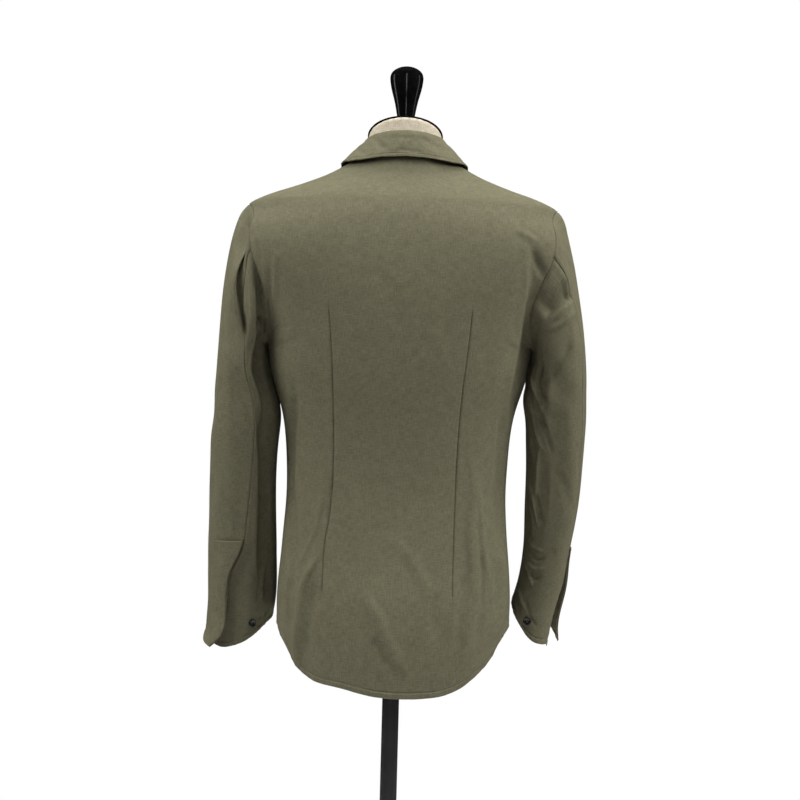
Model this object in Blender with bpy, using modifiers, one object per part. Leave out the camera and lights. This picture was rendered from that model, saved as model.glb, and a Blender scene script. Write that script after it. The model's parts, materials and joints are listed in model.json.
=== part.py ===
"""Coverall jacket on a limbless dress form, at its real size in metres.

The wearer's left is +X, the jacket's front faces -Y and its back +Y. The origin is the middle of the
round base's underside, on the floor. Every cloth piece is the outer face of the worn cloth, lofted from
the tables below, with its wall grown inwards by Solidify.
"""

import math
from collections import namedtuple

import bmesh
import bpy
from mathutils import Quaternion, Vector

# ---------------------------------------------------------------- driving dimensions, metres and degrees

CLOTH = 0.0016            # wall of the jacket's cloth
SEAM_GAP = 0.0010         # between two panels' outer faces along a seam; inside, their walls lean closer
SLEEVE_SEAM_GAP = 0.0016
TOP_SEAM_EXTRA = 0.0006   # more of it over the shoulder, where the two walls lean together most
ON_CLOTH = 0.0003         # between a panel and what lies on it
REST_GAP = 0.0007         # between the form's shoulders and the cloth that rests on them

UNDERARM = 1.190          # height of the armhole's lowest point
SHOULDER_POINT = 1.375    # height of the armhole's highest point
ARMHOLE_BACK = 0.066      # how far the armhole reaches behind and before the side seam's plane
ARMHOLE_FRONT = 0.060
ARMHOLE_STEP = 15         # degrees between the armhole's points, shared by body and sleeve
NECK_SEAM = 1.432         # height of the neck seam at the side of the neck
SKIRT_TOP = 0.900         # below this the body's rows bend to the curved hem
SLEEVE_TUBE_TOP = 1.160   # below this the sleeve is a tube of level rings
VENT_TOP = 0.930          # the hind-arm seam opens here, and the rings bend to the cuff's edge

OVERLAP = 0.018           # the fronts cross the middle by this much
BUTTON_RADIUS = 0.0078    # front buttons
CUFF_BUTTON_RADIUS = 0.0055
BUTTON_HEIGHTS = (1.345, 1.257, 1.169, 1.081, 0.993)
FRONT_BUTTON_THICK = 0.0028
CUFF_BUTTON_THICK = 0.0022

POLE_RADIUS = 0.0112
BASE_RADIUS = 0.180
BASE_THICK = 0.008
HUB_RADIUS = 0.026
HUB_HEIGHT = 0.034
TORSO_BOTTOM = 0.850
CAP_RADIUS = 0.0500
CAP_THICK = 0.0045
CAP_LEAN = 0.40           # rise of the neck cap per metre towards the back
NECK_TOP = 1.4665
FINIAL_TOP = 1.563


def table(columns, *rows):
    """Rows with named columns; the first column is the key that the others are read by."""
    row_type = namedtuple("Row", columns)
    return [row_type(*row) for row in rows]


# Outer face of the jacket's body as rings up the figure. A ring's height is taken at the side of the
# body; lean tilts it up towards the back, and drop lets its front hang lower.
BODY = table(
    "height half_width back front lean drop x_power y_power side_angle",
    (0.740, 0.1500, 0.1130, 0.1090, 0.00, 0.000, 0.90, 0.90, 84),
    (0.800, 0.1525, 0.1130, 0.1110, 0.00, 0.000, 0.90, 0.90, 83),
    (0.855, 0.1550, 0.1095, 0.1110, 0.00, 0.000, 0.89, 0.90, 81),
    (0.900, 0.1522, 0.1020, 0.1080, 0.00, 0.000, 0.88, 0.89, 79),
    (0.950, 0.1480, 0.0950, 0.1030, 0.00, 0.000, 0.87, 0.88, 77),
    (1.005, 0.1452, 0.0915, 0.1000, 0.00, 0.000, 0.87, 0.87, 76),
    (1.050, 0.1472, 0.0930, 0.1015, 0.00, 0.000, 0.87, 0.87, 77),
    (1.085, 0.1510, 0.0960, 0.1050, 0.00, 0.000, 0.87, 0.87, 79),
    (1.120, 0.1590, 0.1000, 0.1090, 0.00, 0.000, 0.87, 0.87, 82),
    (1.155, 0.1700, 0.1045, 0.1135, 0.00, 0.000, 0.86, 0.87, 87),
    (1.190, 0.1745, 0.1080, 0.1170, 0.00, 0.000, 0.85, 0.87, 90),
    (1.230, 0.1860, 0.1110, 0.1180, 0.00, 0.004, 0.84, 0.87, 90),
    (1.260, 0.2010, 0.1120, 0.1165, 0.01, 0.010, 0.83, 0.86, 90),
    (1.290, 0.2170, 0.1110, 0.1130, 0.03, 0.018, 0.82, 0.85, 90),
    (1.320, 0.2250, 0.1080, 0.1070, 0.05, 0.027, 0.84, 0.88, 90),
    (1.345, 0.2160, 0.1030, 0.1000, 0.06, 0.035, 0.88, 0.97, 90),
    (1.365, 0.2075, 0.0965, 0.0920, 0.05, 0.041, 0.92, 1.08, 90),
    (1.375, 0.2040, 0.0920, 0.0880, 0.04, 0.044, 0.94, 1.12, 90),
    (1.3855, 0.1840, 0.0850, 0.0840, 0.04, 0.046, 0.96, 1.14, 90),
    (1.3955, 0.1545, 0.0780, 0.0800, 0.04, 0.0475, 0.98, 1.12, 90),
    (1.405, 0.1270, 0.0720, 0.0760, 0.05, 0.0485, 1.00, 1.08, 90),
    (1.415, 0.1015, 0.0675, 0.0725, 0.07, 0.049, 1.00, 1.04, 90),
    (1.424, 0.0832, 0.0640, 0.0700, 0.10, 0.049, 1.00, 1.00, 90),
    (1.432, 0.0682, 0.0610, 0.0680, 0.12, 0.049, 1.00, 1.00, 90),
)

# The dress form's own rings, closed at both ends. Its shoulder rows lie just under the jacket's.
FORM = table(
    "height half_width back front lean drop x_power y_power",
    (0.8500, 0.1250, 0.0750, 0.0770, 0.00, 0.000, 0.92, 0.92),
    (0.8545, 0.1340, 0.0850, 0.0870, 0.00, 0.000, 0.91, 0.91),
    (0.8660, 0.1385, 0.0895, 0.0920, 0.00, 0.000, 0.90, 0.90),
    (0.9000, 0.1370, 0.0860, 0.0910, 0.00, 0.000, 0.90, 0.90),
    (0.9500, 0.1320, 0.0790, 0.0870, 0.00, 0.000, 0.89, 0.89),
    (1.0050, 0.1290, 0.0755, 0.0850, 0.00, 0.000, 0.88, 0.88),
    (1.0600, 0.1320, 0.0780, 0.0870, 0.00, 0.000, 0.88, 0.88),
    (1.1100, 0.1400, 0.0840, 0.0920, 0.00, 0.000, 0.87, 0.88),
    (1.1550, 0.1500, 0.0900, 0.0980, 0.00, 0.000, 0.87, 0.88),
    (1.2000, 0.1590, 0.0950, 0.1020, 0.00, 0.000, 0.87, 0.88),
    (1.2400, 0.1660, 0.0975, 0.1030, 0.00, 0.003, 0.87, 0.88),
    (1.2800, 0.1730, 0.0975, 0.1000, 0.02, 0.012, 0.87, 0.89),
    (1.3150, 0.1790, 0.0940, 0.0940, 0.06, 0.023, 0.88, 0.93),
    (1.3450, 0.1820, 0.0870, 0.0870, 0.06, 0.032, 0.90, 1.02),
    (1.3640, 0.1800, 0.0800, 0.0800, 0.05, 0.039, 0.93, 1.12),
    (1.3770, 0.1745, 0.0740, 0.0750, 0.04, 0.044, 0.96, 1.20),
    (1.3865, 0.1660, 0.0705, 0.0725, 0.04, 0.046, 0.98, 1.22),
)
# Above, the form follows the jacket's rows from this one to the neck seam, drawn in by these amounts.
FORM_SHOULDER_FROM = 1.3955
SHOULDER_SLOPE = (0.37, 0.93)  # the shoulder's outward direction, seen from behind
FORM_SHOULDER_PINCH = 0.10    # added to y_power, so that only the ridge meets the cloth
FORM_SHOULDER_DRAWN = 0.0045  # taken off the depths
FORM_NECK = table(
    "height half_width back front lean drop x_power y_power",
    (1.4375, 0.0590, 0.0530, 0.0595, 0.15, 0.043, 1.00, 1.00),
    (1.4460, 0.0520, 0.0502, 0.0550, 0.23, 0.032, 1.00, 1.00),
    (1.4560, 0.0490, 0.0490, 0.0510, 0.32, 0.016, 1.00, 1.00),
    (1.4665, 0.0485, 0.0485, 0.0485, 0.40, 0.000, 1.00, 1.00),
)

# The curved shirt-tail hem: its height at angles round the body from the middle of the back, on the
# wearer's left and on the wearer's right.
HEM = table(
    "angle left right",
    (0, 0.7465, 0.7465),
    (12, 0.7515, 0.7475),
    (22, 0.7570, 0.7500),
    (32, 0.7600, 0.7580),
    (42, 0.7660, 0.7720),
    (52, 0.7818, 0.7882),
    (64, 0.8030, 0.8120),
    (76, 0.8180, 0.8240),
    (88, 0.8290, 0.8300),
    (100, 0.8280, 0.8285),
    (120, 0.8130, 0.8130),
    (145, 0.7860, 0.7860),
    (165, 0.7720, 0.7720),
    (180, 0.7690, 0.7690),
)

# The back's two long darts: where each one's line lies, left and right of the middle.
DARTS = table(
    "height left right",
    (0.866, 0.0905, 0.0736),
    (0.930, 0.0888, 0.0743),
    (0.990, 0.0818, 0.0748),
    (1.060, 0.0806, 0.0763),
    (1.130, 0.0830, 0.0803),
    (1.185, 0.0860, 0.0860),
    (1.238, 0.0908, 0.0904),
)
DART_HALF_WIDTH = 0.0035
DART_DEPTH = 0.0012
DART_RUN_OUT = 0.010      # the line fades out this far past each end
DART_BEARING = 40         # degrees from the middle of the back, where a row's height for its darts is taken
SIDE_BEARING = 85         # and where it is taken for the side seam

# The largest soft folds of the body, each a straight run on the back or front face: where it starts and
# ends, its half width, and how far it stands out (or, below zero, sinks in).
BODY_FOLDS = table(
    "face x_top z_top x_bottom z_bottom half_width depth",
    ("back", 0.092, 0.940, 0.116, 0.870, 0.014, 0.0035),
    ("back", 0.116, 0.885, 0.122, 0.755, 0.014, 0.0045),
    ("back", -0.100, 1.010, -0.128, 0.790, 0.013, 0.0035),
    ("back", -0.074, 0.900, -0.092, 0.770, 0.014, 0.0030),
    ("back", 0.012, 0.900, 0.020, 0.765, 0.020, 0.0022),
    ("back", -0.172, 1.330, -0.150, 1.130, 0.016, -0.0040),
    ("back", 0.166, 1.300, 0.150, 1.140, 0.014, -0.0030),
    ("front", 0.120, 1.300, 0.070, 1.200, 0.018, 0.0030),
    ("front", -0.120, 1.300, -0.070, 1.200, 0.018, 0.0030),
    ("front", 0.104, 0.960, 0.112, 0.800, 0.016, 0.0035),
    ("front", -0.098, 0.960, -0.110, 0.800, 0.016, 0.0035),
)

# Sleeve rings: how far the outer and inner outlines lie from the middle of the body, where the ring's
# middle lies in depth, and the angles of the hind-arm and fore-arm seams. Angles run from the back, 0,
# to the outer side, 90; the side towards the body is -90.
SLEEVES = {
    "left": table(
        "height outer inner middle half_depth hind fore",
        (0.785, 0.2535, 0.1640, -0.034, 0.0425, 2, -150),
        (0.820, 0.2515, 0.1630, -0.031, 0.0425, 0, -150),
        (0.850, 0.2495, 0.1590, -0.028, 0.0435, -2, -150),
        (0.885, 0.2498, 0.1580, -0.023, 0.0450, -4, -150),
        (0.935, 0.2498, 0.1590, -0.017, 0.0470, -8, -150),
        (0.990, 0.2487, 0.1608, -0.010, 0.0500, -17, -150),
        (1.030, 0.2483, 0.1605, -0.006, 0.0530, -21, -150),
        (1.070, 0.2475, 0.1575, -0.002, 0.0560, -21, -150),
        (1.100, 0.2455, 0.1560, 0.000, 0.0590, -19, -150),
        (1.130, 0.2438, 0.1640, 0.001, 0.0620, -17, -150),
        (1.160, 0.2411, 0.1735, 0.002, 0.0660, -14, -150),
    ),
    "right": table(
        "height outer inner middle half_depth hind fore",
        (0.795, 0.2080, 0.1620, -0.034, 0.0500, 84, -85),
        (0.820, 0.2125, 0.1590, -0.031, 0.0510, 84, -85),
        (0.850, 0.2185, 0.1600, -0.027, 0.0525, 82, -85),
        (0.885, 0.2285, 0.1680, -0.023, 0.0540, 78, -85),
        (0.935, 0.2350, 0.1735, -0.017, 0.0555, 70, -85),
        (0.980, 0.2424, 0.1726, -0.011, 0.0570, 59, -85),
        (1.020, 0.2455, 0.1732, -0.007, 0.0580, 53, -85),
        (1.060, 0.2475, 0.1718, -0.003, 0.0600, 50, -90),
        (1.100, 0.2490, 0.1690, 0.000, 0.0620, 48, -100),
        (1.130, 0.2482, 0.1662, 0.001, 0.0640, 47, -110),
        (1.160, 0.2470, 0.1735, 0.002, 0.0660, 46, -120),
    ),
}
SLEEVE_SEAM_TURN = math.degrees(SLEEVE_SEAM_GAP / 2 / 0.05)   # half the gap, on a 50 mm radius
CAP_HIND = 15             # where the two sleeve seams meet the armhole
CAP_FORE = -150
SEAM_SWING = {"left": 1.0, "right": 0.75}   # share of the cap over which the hind seam swings to its place
CAP_ARRIVE = (0.04, 0, -1)   # the cap meets the tube in this direction (out, back, up)
CAP_ARRIVE_PULL = 0.95
SLEEVE_POWER = 0.93       # a little squarer than an ellipse
SLEEVE_FOLD_RUN = 0.62    # a fold dies out this far from its middle, as a share of its length
CAP_ROWS = (0.0, 0.09, 0.20, 0.33, 0.48, 0.64, 0.82)
TUBE_HEIGHTS = (1.160, 1.130, 1.100, 1.070, 1.035, 1.000, 0.967, VENT_TOP)
VENT_ROWS = (0.13, 0.30, 0.50, 0.70, 0.88, 1.0)

# The sleeve cap leaves the armhole in these directions (out, back, up) at angles round the armhole.
CAP_LEAVES = table(
    "angle left_out right_out back up",
    (-180, 0.040, 0.030, -0.030, -0.090),
    (-135, 0.020, 0.016, -0.020, -0.060),
    (-90, 0.004, 0.004, 0.000, -0.030),
    (-45, 0.020, 0.016, 0.004, -0.060),
    (0, 0.040, 0.026, 0.022, -0.090),
    (45, 0.072, 0.044, 0.030, -0.080),
    (90, 0.085, 0.052, 0.000, -0.060),
    (135, 0.074, 0.044, -0.030, -0.080),
    (180, 0.040, 0.030, -0.030, -0.090),
)

# Height of the cuff's edge at angles round the sleeve.
CUFF_EDGE = {
    "left": table(
        "angle height",
        (-180, 0.8270), (-120, 0.8310), (-90, 0.8260), (-60, 0.8160), (-30, 0.8025), (0, 0.7900),
        (30, 0.7870), (60, 0.7980), (90, 0.8060), (130, 0.8120), (180, 0.8270),
    ),
    "right": table(
        "angle height",
        (-180, 0.8620), (-120, 0.8580), (-90, 0.8490), (-60, 0.8365), (-30, 0.8180), (0, 0.8060),
        (30, 0.8020), (60, 0.8000), (90, 0.7950), (130, 0.8260), (180, 0.8620),
    ),
}

# The open vent: from its top to the cuff's edge, the angle of each free edge and how far it stands off.
VENTS = {
    "left": table(
        "down top_edge top_lift under_edge under_lift",
        (0.00, -8, 0.0000, -8, 0.0000),
        (0.13, 0, 0.0020, -2, -0.0024),
        (0.30, 12, 0.0040, 12, -0.0030),
        (0.50, 16, 0.0050, 19, -0.0030),
        (0.70, 14, 0.0060, 20, -0.0030),
        (0.88, 17, 0.0090, 28, -0.0030),
        (1.00, 33, 0.0125, 40, -0.0030),
    ),
    "right": table(
        "down top_edge top_lift under_edge under_lift",
        (0.00, 70, 0.0000, 70, 0.0000),
        (0.13, 75, 0.0000, 72, -0.0010),
        (0.30, 86, 0.0026, 78, -0.0010),
        (0.50, 95, 0.0080, 82, 0.0000),
        (0.70, 97, 0.0098, 84, 0.0000),
        (0.88, 97, 0.0118, 84, 0.0000),
        (1.00, 96, 0.0160, 80, 0.0000),
    ),
}
VENT_SPREAD = 42          # degrees over which a lifted vent edge settles back onto the sleeve

# A direction that each sleeve piece's outer face looks in.
FACING = {
    "left": {"top": (1, 0, 0), "under": (-1, 0.5, 0), "placket": (0.5, 1, 0)},
    "right": {"top": (-1, 0, 0), "under": (0.2, 1, 0), "placket": (-1, -0.3, 0)},
}

# The largest folds of the sleeves: angles and heights of the two ends, half width in degrees, depth.
SLEEVE_FOLDS = {
    "left": table(
        "angle_top z_top angle_bottom z_bottom half_width depth",
        (14, 1.325, 4, 1.190, 13, 0.0090),
        (-42, 1.270, -52, 1.080, 20, 0.0100),
        (60, 1.140, 95, 1.060, 16, 0.0035),
        (150, 1.180, 200, 1.060, 20, 0.0060),
        (30, 1.060, 62, 0.960, 14, 0.0030),
        (-52, 1.230, -50, 0.760, 34, 0.0090),
        (165, 1.020, 140, 0.900, 16, 0.0040),
    ),
    "right": table(
        "angle_top z_top angle_bottom z_bottom half_width depth",
        (36, 1.240, -20, 1.205, 14, 0.0080),
        (-36, 1.190, -50, 1.060, 16, 0.0080),
        (16, 1.190, -34, 1.130, 13, 0.0050),
        (-34, 1.060, -42, 0.930, 13, 0.0050),
        (130, 1.150, 90, 1.060, 16, 0.0040),
        (190, 1.180, 150, 1.070, 20, 0.0060),
        (-14, 1.260, -10, 0.760, 58, 0.0110),
    ),
}

# The collar, by angle round the neck from the middle of the back: where its free edge lies on the
# body (the body's own angle and ring height) and how far it stands off.
COLLAR = table(
    "around edge_angle edge_height edge_lift",
    (0, 0, 1.4240, 0.0044),
    (30, 20, 1.4228, 0.0048),
    (60, 42, 1.4195, 0.0056),
    (90, 90, 1.4245, 0.0022),
    (120, 132, 1.4145, 0.0044),
    (150, 155, 1.3985, 0.0050),
    (177, 165, 1.3830, 0.0052),
)
COLLAR_ENDS = 177
COLLAR_COLUMNS = 28
ROLL_HEIGHT = 1.4575      # the collar's fold: its ring round the neck
ROLL_HALF_WIDTH = 0.0535
ROLL_BACK = 0.0580
ROLL_FRONT = 0.0615
ROLL_LEAN = 0.14
ROLL_DROP = 0.047
ROLL_RADIUS = 0.0021
FALL_BULGE = 0.0008
FALL_BULGE_RISE = 0.8     # the bulge points up by this much for each part outwards
FALL_STEPS = ((0.25, 0.8), (0.50, 1.0), (0.75, 0.6))   # share of the way down the fall, share of the bulge
STAND_BULGE = 0.0006
SEAM_RISE = 0.0012        # the collar's seam edge lies this far above the neck's edge, and this far inside it
SEAM_INSIDE = 0.0008

LAP_LIFT = CLOTH + 3 * ON_CLOTH   # the left front lies on the right one, this much further out
LAP_FROM = 0.060
LAP_TO = 0.026

BACK_EDGE_COLUMNS = 6     # between an edge of the back and its dart
BACK_MIDDLE_COLUMNS = 6   # between the two darts
FRONT_COLUMNS = 9
PLACKET_OFF = CLOTH + 2 * ON_CLOTH
PLACKET_COLUMNS = 3       # of the top sleeve's own columns, from its vent edge

# Where each cuff button sits on the under sleeve: its turn, and how far down from the vent's top.
CUFF_BUTTONS = {"left": (-27, 0.86), "right": (-22, 0.84)}
BUTTON_REACH = 0.006      # how far off a panel its seat is looked for
RIM_STEP = 30             # degrees between the places where a button's rim is seated
NEAR_TURN = 4             # how far beside a cuff button, and how far up and down the vent, the sleeve's
NEAR_SHARE = 0.05         # slope there is measured


# ---------------------------------------------------------------------------------------- reading tables


def read(rows, column, key):
    """A column's value at this key, along a smooth curve through the rows (Catmull-Rom)."""
    keys = [row[0] for row in rows]
    values = [getattr(row, column) for row in rows]
    if key <= keys[0]:
        return values[0]
    if key >= keys[-1]:
        return values[-1]
    i = max(j for j in range(len(keys) - 1) if keys[j] <= key)
    span = keys[i + 1] - keys[i]
    t = (key - keys[i]) / span

    def slope(j):
        before, after = max(j - 1, 0), min(j + 1, len(keys) - 1)
        return (values[after] - values[before]) / (keys[after] - keys[before]) * span

    start, end = values[i], values[i + 1]
    return (
        start * (2 * t**3 - 3 * t**2 + 1)
        + slope(i) * (t**3 - 2 * t**2 + t)
        + end * (3 * t**2 - 2 * t**3)
        + slope(i + 1) * (t**3 - t**2)
    )


def ease(t):
    """0 to 1 along a smooth step."""
    t = min(max(t, 0.0), 1.0)
    return t * t * (3 - 2 * t)


def bell(distance):
    """1 at no distance, falling smoothly to 0 at a distance of 1."""
    return (1 - min(abs(distance), 1.0) ** 2) ** 2


def mix(start, end, t):
    return start + (end - start) * t


def power(value, exponent):
    """A signed power, the superellipse's own."""
    return math.copysign(abs(value) ** exponent, value)


# ------------------------------------------------------------------------------- the body as one surface


def ring_point(rows, angle, height):
    """The point at this angle, in degrees from the middle of the back, on the ring at this height."""
    sine = math.sin(math.radians(angle))
    cosine = math.cos(math.radians(angle))
    x = read(rows, "half_width", height) * power(sine, read(rows, "x_power", height))
    depth = read(rows, "back" if cosine > 0 else "front", height)
    y = depth * power(cosine, read(rows, "y_power", height))
    z = height + read(rows, "lean", height) * y
    if cosine < 0:
        z -= read(rows, "drop", height) * cosine**2
    return Vector((x, y, z))


def body_normal(angle, height):
    """The body surface's outward direction."""
    step, rise = 0.6, 0.002
    along = ring_point(BODY, angle + step, height) - ring_point(BODY, angle - step, height)
    up = ring_point(BODY, angle, height + rise) - ring_point(BODY, angle, height - rise)
    return up.cross(along).normalized()


def fold_shift(x, y, z):
    """How far the body's soft folds push this point out."""
    shift = 0.0
    for fold in BODY_FOLDS:
        if (fold.face == "back") != (y > 0):
            continue
        length = math.hypot(fold.x_bottom - fold.x_top, fold.z_bottom - fold.z_top)
        run = Vector((fold.x_bottom - fold.x_top, fold.z_bottom - fold.z_top)) / length
        from_top = Vector((x - fold.x_top, z - fold.z_top))
        along = from_top.dot(run)
        across = from_top.x * run.y - from_top.y * run.x
        ends = bell((along - length / 2) / (length / 2 + fold.half_width))
        shift += fold.depth * bell(across / fold.half_width) * ends
    return shift


def body_point(angle, height):
    """A point on the jacket's body, folds and all."""
    plain = ring_point(BODY, angle, height)
    shift = fold_shift(plain.x, plain.y, plain.z)
    return plain + body_normal(angle, height) * shift


def angle_at_x(height, x):
    """The angle on the back at which the ring reaches this far to the side."""
    share = abs(x) / read(BODY, "half_width", height)
    return math.degrees(math.asin(min(share, 1.0) ** (1 / read(BODY, "x_power", height))))


def angle_at_depth(height, y):
    """The angle at which the ring reaches this depth, behind (y over 0) or before."""
    share = min(abs(y) / read(BODY, "back" if y > 0 else "front", height), 1.0)
    angle = math.degrees(math.acos(share ** (1 / read(BODY, "y_power", height))))
    return angle if y > 0 else 180 - angle


def armhole(turn):
    """Body angle and ring height of the armhole at this turn: 90 top, 0 back, -90 underarm, 180 front."""
    middle = (SHOULDER_POINT + UNDERARM) / 2
    height = middle + (SHOULDER_POINT - UNDERARM) / 2 * math.sin(math.radians(turn))
    cosine = math.cos(math.radians(turn))
    if abs(cosine) < 1e-6:
        return 90.0, height
    reach = ARMHOLE_BACK if cosine > 0 else ARMHOLE_FRONT
    return angle_at_depth(height, reach * cosine), height


def body_rows():
    """The body's rows from hem to neck, as (kind, value) pairs."""
    rows = [("skirt", share) for share in (0.0, 0.10, 0.30, 0.52, 0.76)]
    rows += [("ring", h) for h in (SKIRT_TOP, 0.935, 0.970, 1.005, 1.040, 1.075, 1.110, 1.145, 1.170)]
    rows += [("armhole", turn) for turn in range(-90, 91, ARMHOLE_STEP)]
    rows += [("ring", row.height) for row in BODY if row.height > SHOULDER_POINT]
    return rows


def hem_height(angle):
    return read(HEM, "left" if angle >= 0 else "right", abs(angle))


def row_height(kind, value, angle):
    """The ring height at this angle of a row."""
    if kind == "skirt":
        return mix(hem_height(angle), SKIRT_TOP, value)
    if kind == "armhole":
        return armhole(value)[1]
    return value


def panel_edge(kind, value, face):
    """The angle where the back, or a front, ends at the side seam, armhole or shoulder seam."""
    if kind == "armhole" and abs(value) < 90:
        return armhole(value if face == "back" else 180 - value)[0]
    height = row_height(kind, value, SIDE_BEARING)
    return read(BODY, "side_angle", height)


def seam_inset(height, angle):
    """Half the seam gap, as degrees round the ring."""
    here = ring_point(BODY, angle, height)
    beside = ring_point(BODY, angle - 1, height)
    return SEAM_GAP / 2 / (here - beside).length


def steps(start, end, count):
    """Evenly spaced values from start to end, both included."""
    return [mix(start, end, i / count) for i in range(count + 1)]


# ------------------------------------------------------------------------------------------ body panels


def dart_angle(height, side):
    """Where the dart's column runs; over the shoulder it draws in as the rows get narrower."""
    x = read(DARTS, side, height)
    if height > SHOULDER_POINT:
        x *= read(BODY, "half_width", height) / read(BODY, "half_width", SHOULDER_POINT)
    return angle_at_x(height, x)


def dart_column(kind, value, side):
    """The angle of a dart's line in this row, and of half the dart's width."""
    height = row_height(kind, value, DART_BEARING if side == "left" else -DART_BEARING)
    return dart_angle(height, side), math.degrees(DART_HALF_WIDTH / read(BODY, "half_width", height))


def back_angles(kind, value):
    """The angles of one row of the back, with three close columns along each dart."""
    edge = panel_edge(kind, value, "back")
    edge -= seam_inset(row_height(kind, value, edge), edge)
    left, left_spread = dart_column(kind, value, "left")
    right, right_spread = dart_column(kind, value, "right")
    angles = steps(-edge, -right - right_spread, BACK_EDGE_COLUMNS)
    angles += [-right]
    angles += steps(-right + right_spread, left - left_spread, BACK_MIDDLE_COLUMNS)
    angles += [left]
    angles += steps(left + left_spread, edge, BACK_EDGE_COLUMNS)
    return angles


def back_points():
    """The back's grid, its darts sunk in as two fine lines."""
    right_column = BACK_EDGE_COLUMNS + 1
    left_column = right_column + BACK_MIDDLE_COLUMNS + 2
    grid = []
    for kind, value in body_rows():
        row = []
        for column, angle in enumerate(back_angles(kind, value)):
            height = row_height(kind, value, angle)
            point = body_point(angle, height)
            if column in (right_column, left_column):
                bottom, top = DARTS[0].height - DART_RUN_OUT, DARTS[-1].height + DART_RUN_OUT
                inside = bottom < height < top
                point -= body_normal(angle, height) * DART_DEPTH * inside
            row.append(point)
        grid.append(row)
    return grid


def front_end(height):
    """The angle past the middle of the front where this front ends."""
    share = OVERLAP / read(BODY, "half_width", height)
    return 180 + math.degrees(math.asin(share ** (1 / read(BODY, "x_power", height))))


def front_point(side, angle, height):
    """A point on a front; the left one is carried over the right one along the middle."""
    sign = 1 if side == "left" else -1
    point = body_point(sign * angle, height)
    if side == "left":
        lap = ease((LAP_FROM - point.x) / (LAP_FROM - LAP_TO)) if point.y < 0 else 0
        point += body_normal(angle, height) * LAP_LIFT * lap
    return point


def front_points(side):
    sign = 1 if side == "left" else -1
    grid = []
    for kind, value in body_rows():
        start = panel_edge(kind, value, "front")
        start += seam_inset(row_height(kind, value, start), start)
        end = front_end(row_height(kind, value, 180))
        row = []
        for angle in steps(start, end, FRONT_COLUMNS):
            height = row_height(kind, value, sign * min(angle, 360 - angle))
            row.append(front_point(side, angle, height))
        grid.append(row)
    return grid


# ---------------------------------------------------------------------------------------------- sleeves


def sleeve_ring_point(side, turn, height):
    """A point of the sleeve's tube; turn 0 is the back, 90 the outer side, -90 the side to the body."""
    rows = SLEEVES[side]
    sign = 1 if side == "left" else -1
    outer, inner = read(rows, "outer", height), read(rows, "inner", height)
    sine, cosine = math.sin(math.radians(turn)), math.cos(math.radians(turn))
    x = (outer + inner) / 2 + (outer - inner) / 2 * power(sine, SLEEVE_POWER)
    y = read(rows, "middle", height) + read(rows, "half_depth", height) * power(cosine, SLEEVE_POWER)
    return Vector((sign * x, y, height))


def sleeve_head_point(side, turn):
    """The sleeve's edge at the armhole: a seam gap in from the panels' edge, on the body's surface."""
    sign = 1 if side == "left" else -1
    sine, cosine = math.sin(math.radians(turn)), math.cos(math.radians(turn))
    body_angle, height = armhole(turn)
    edge = body_point(sign * body_angle, height)
    to_side = 1 if cosine > 0 else -1
    along = (body_point(sign * (body_angle + to_side), height) - edge).normalized()
    out = sign * (SEAM_GAP * abs(sine) + TOP_SEAM_EXTRA * max(0.0, sine))
    return edge + along * abs(cosine) * SEAM_GAP / 2 + Vector((out, 0, 0))


def cap_point(side, turn, share):
    """A point of the sleeve's cap, from the armhole at 0 to the top of the tube at 1."""
    sign = 1 if side == "left" else -1
    wrapped = (turn + 180) % 360 - 180
    start = sleeve_head_point(side, wrapped)
    end = sleeve_ring_point(side, turn, SLEEVE_TUBE_TOP)
    leave = Vector([read(CAP_LEAVES, column, wrapped) for column in (side + "_out", "back", "up")])
    leave.x *= sign
    reach = (end - start).length
    arrive = Vector((sign * CAP_ARRIVE[0], CAP_ARRIVE[1], CAP_ARRIVE[2])) * reach * CAP_ARRIVE_PULL
    t = share
    return (
        start * (2 * t**3 - 3 * t**2 + 1)
        + leave * (t**3 - 2 * t**2 + t)
        + end * (3 * t**2 - 2 * t**3)
        + arrive * (t**3 - t**2)
    )


def sleeve_fold_depth(side, turn, z):
    """How far the sleeve's folds draw this point in towards the sleeve's middle."""
    depth = 0.0
    for fold in SLEEVE_FOLDS[side]:
        down = (fold.z_top - z) / (fold.z_top - fold.z_bottom)
        centre = mix(fold.angle_top, fold.angle_bottom, down)
        across = (turn - centre + 180) % 360 - 180
        depth += fold.depth * bell(across / fold.half_width) * bell((down - 0.5) / SLEEVE_FOLD_RUN)
    return depth


def sleeve_point(side, turn, row, lift=0.0):
    """A point of the sleeve in this row, folds and all, moved out by lift."""
    kind, value = row
    if kind == "cap":
        plain = cap_point(side, turn, value)
        settle = ease(value * 4)
    elif kind == "tube":
        plain = sleeve_ring_point(side, turn, value)
        settle = 1.0
    else:
        wrapped = (turn + 180) % 360 - 180
        height = mix(VENT_TOP, read(CUFF_EDGE[side], "height", wrapped), value)
        plain = sleeve_ring_point(side, turn, height)
        settle = 1.0
    sign = 1 if side == "left" else -1
    outward = Vector((sign * math.sin(math.radians(turn)), math.cos(math.radians(turn)), 0))
    depth = sleeve_fold_depth(side, turn, plain.z) * settle
    return plain + outward * (lift - depth)


def sleeve_rows():
    rows = [("cap", share) for share in CAP_ROWS]
    rows += [("tube", height) for height in TUBE_HEIGHTS]
    rows += [("vent", share) for share in VENT_ROWS]
    return rows


def seam_turns(side, row):
    """The turns of the hind-arm and fore-arm seams in this row."""
    kind, value = row
    if kind == "cap":
        hind_share = ease(value / SEAM_SWING[side])
        top = SLEEVES[side][-1]
        return mix(CAP_HIND, top.hind, hind_share), mix(CAP_FORE, top.fore, ease(value))
    height = value if kind == "tube" else mix(VENT_TOP, 0.80, value)
    hind = read(SLEEVES[side], "hind", height)
    return hind, read(SLEEVES[side], "fore", height)


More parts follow.
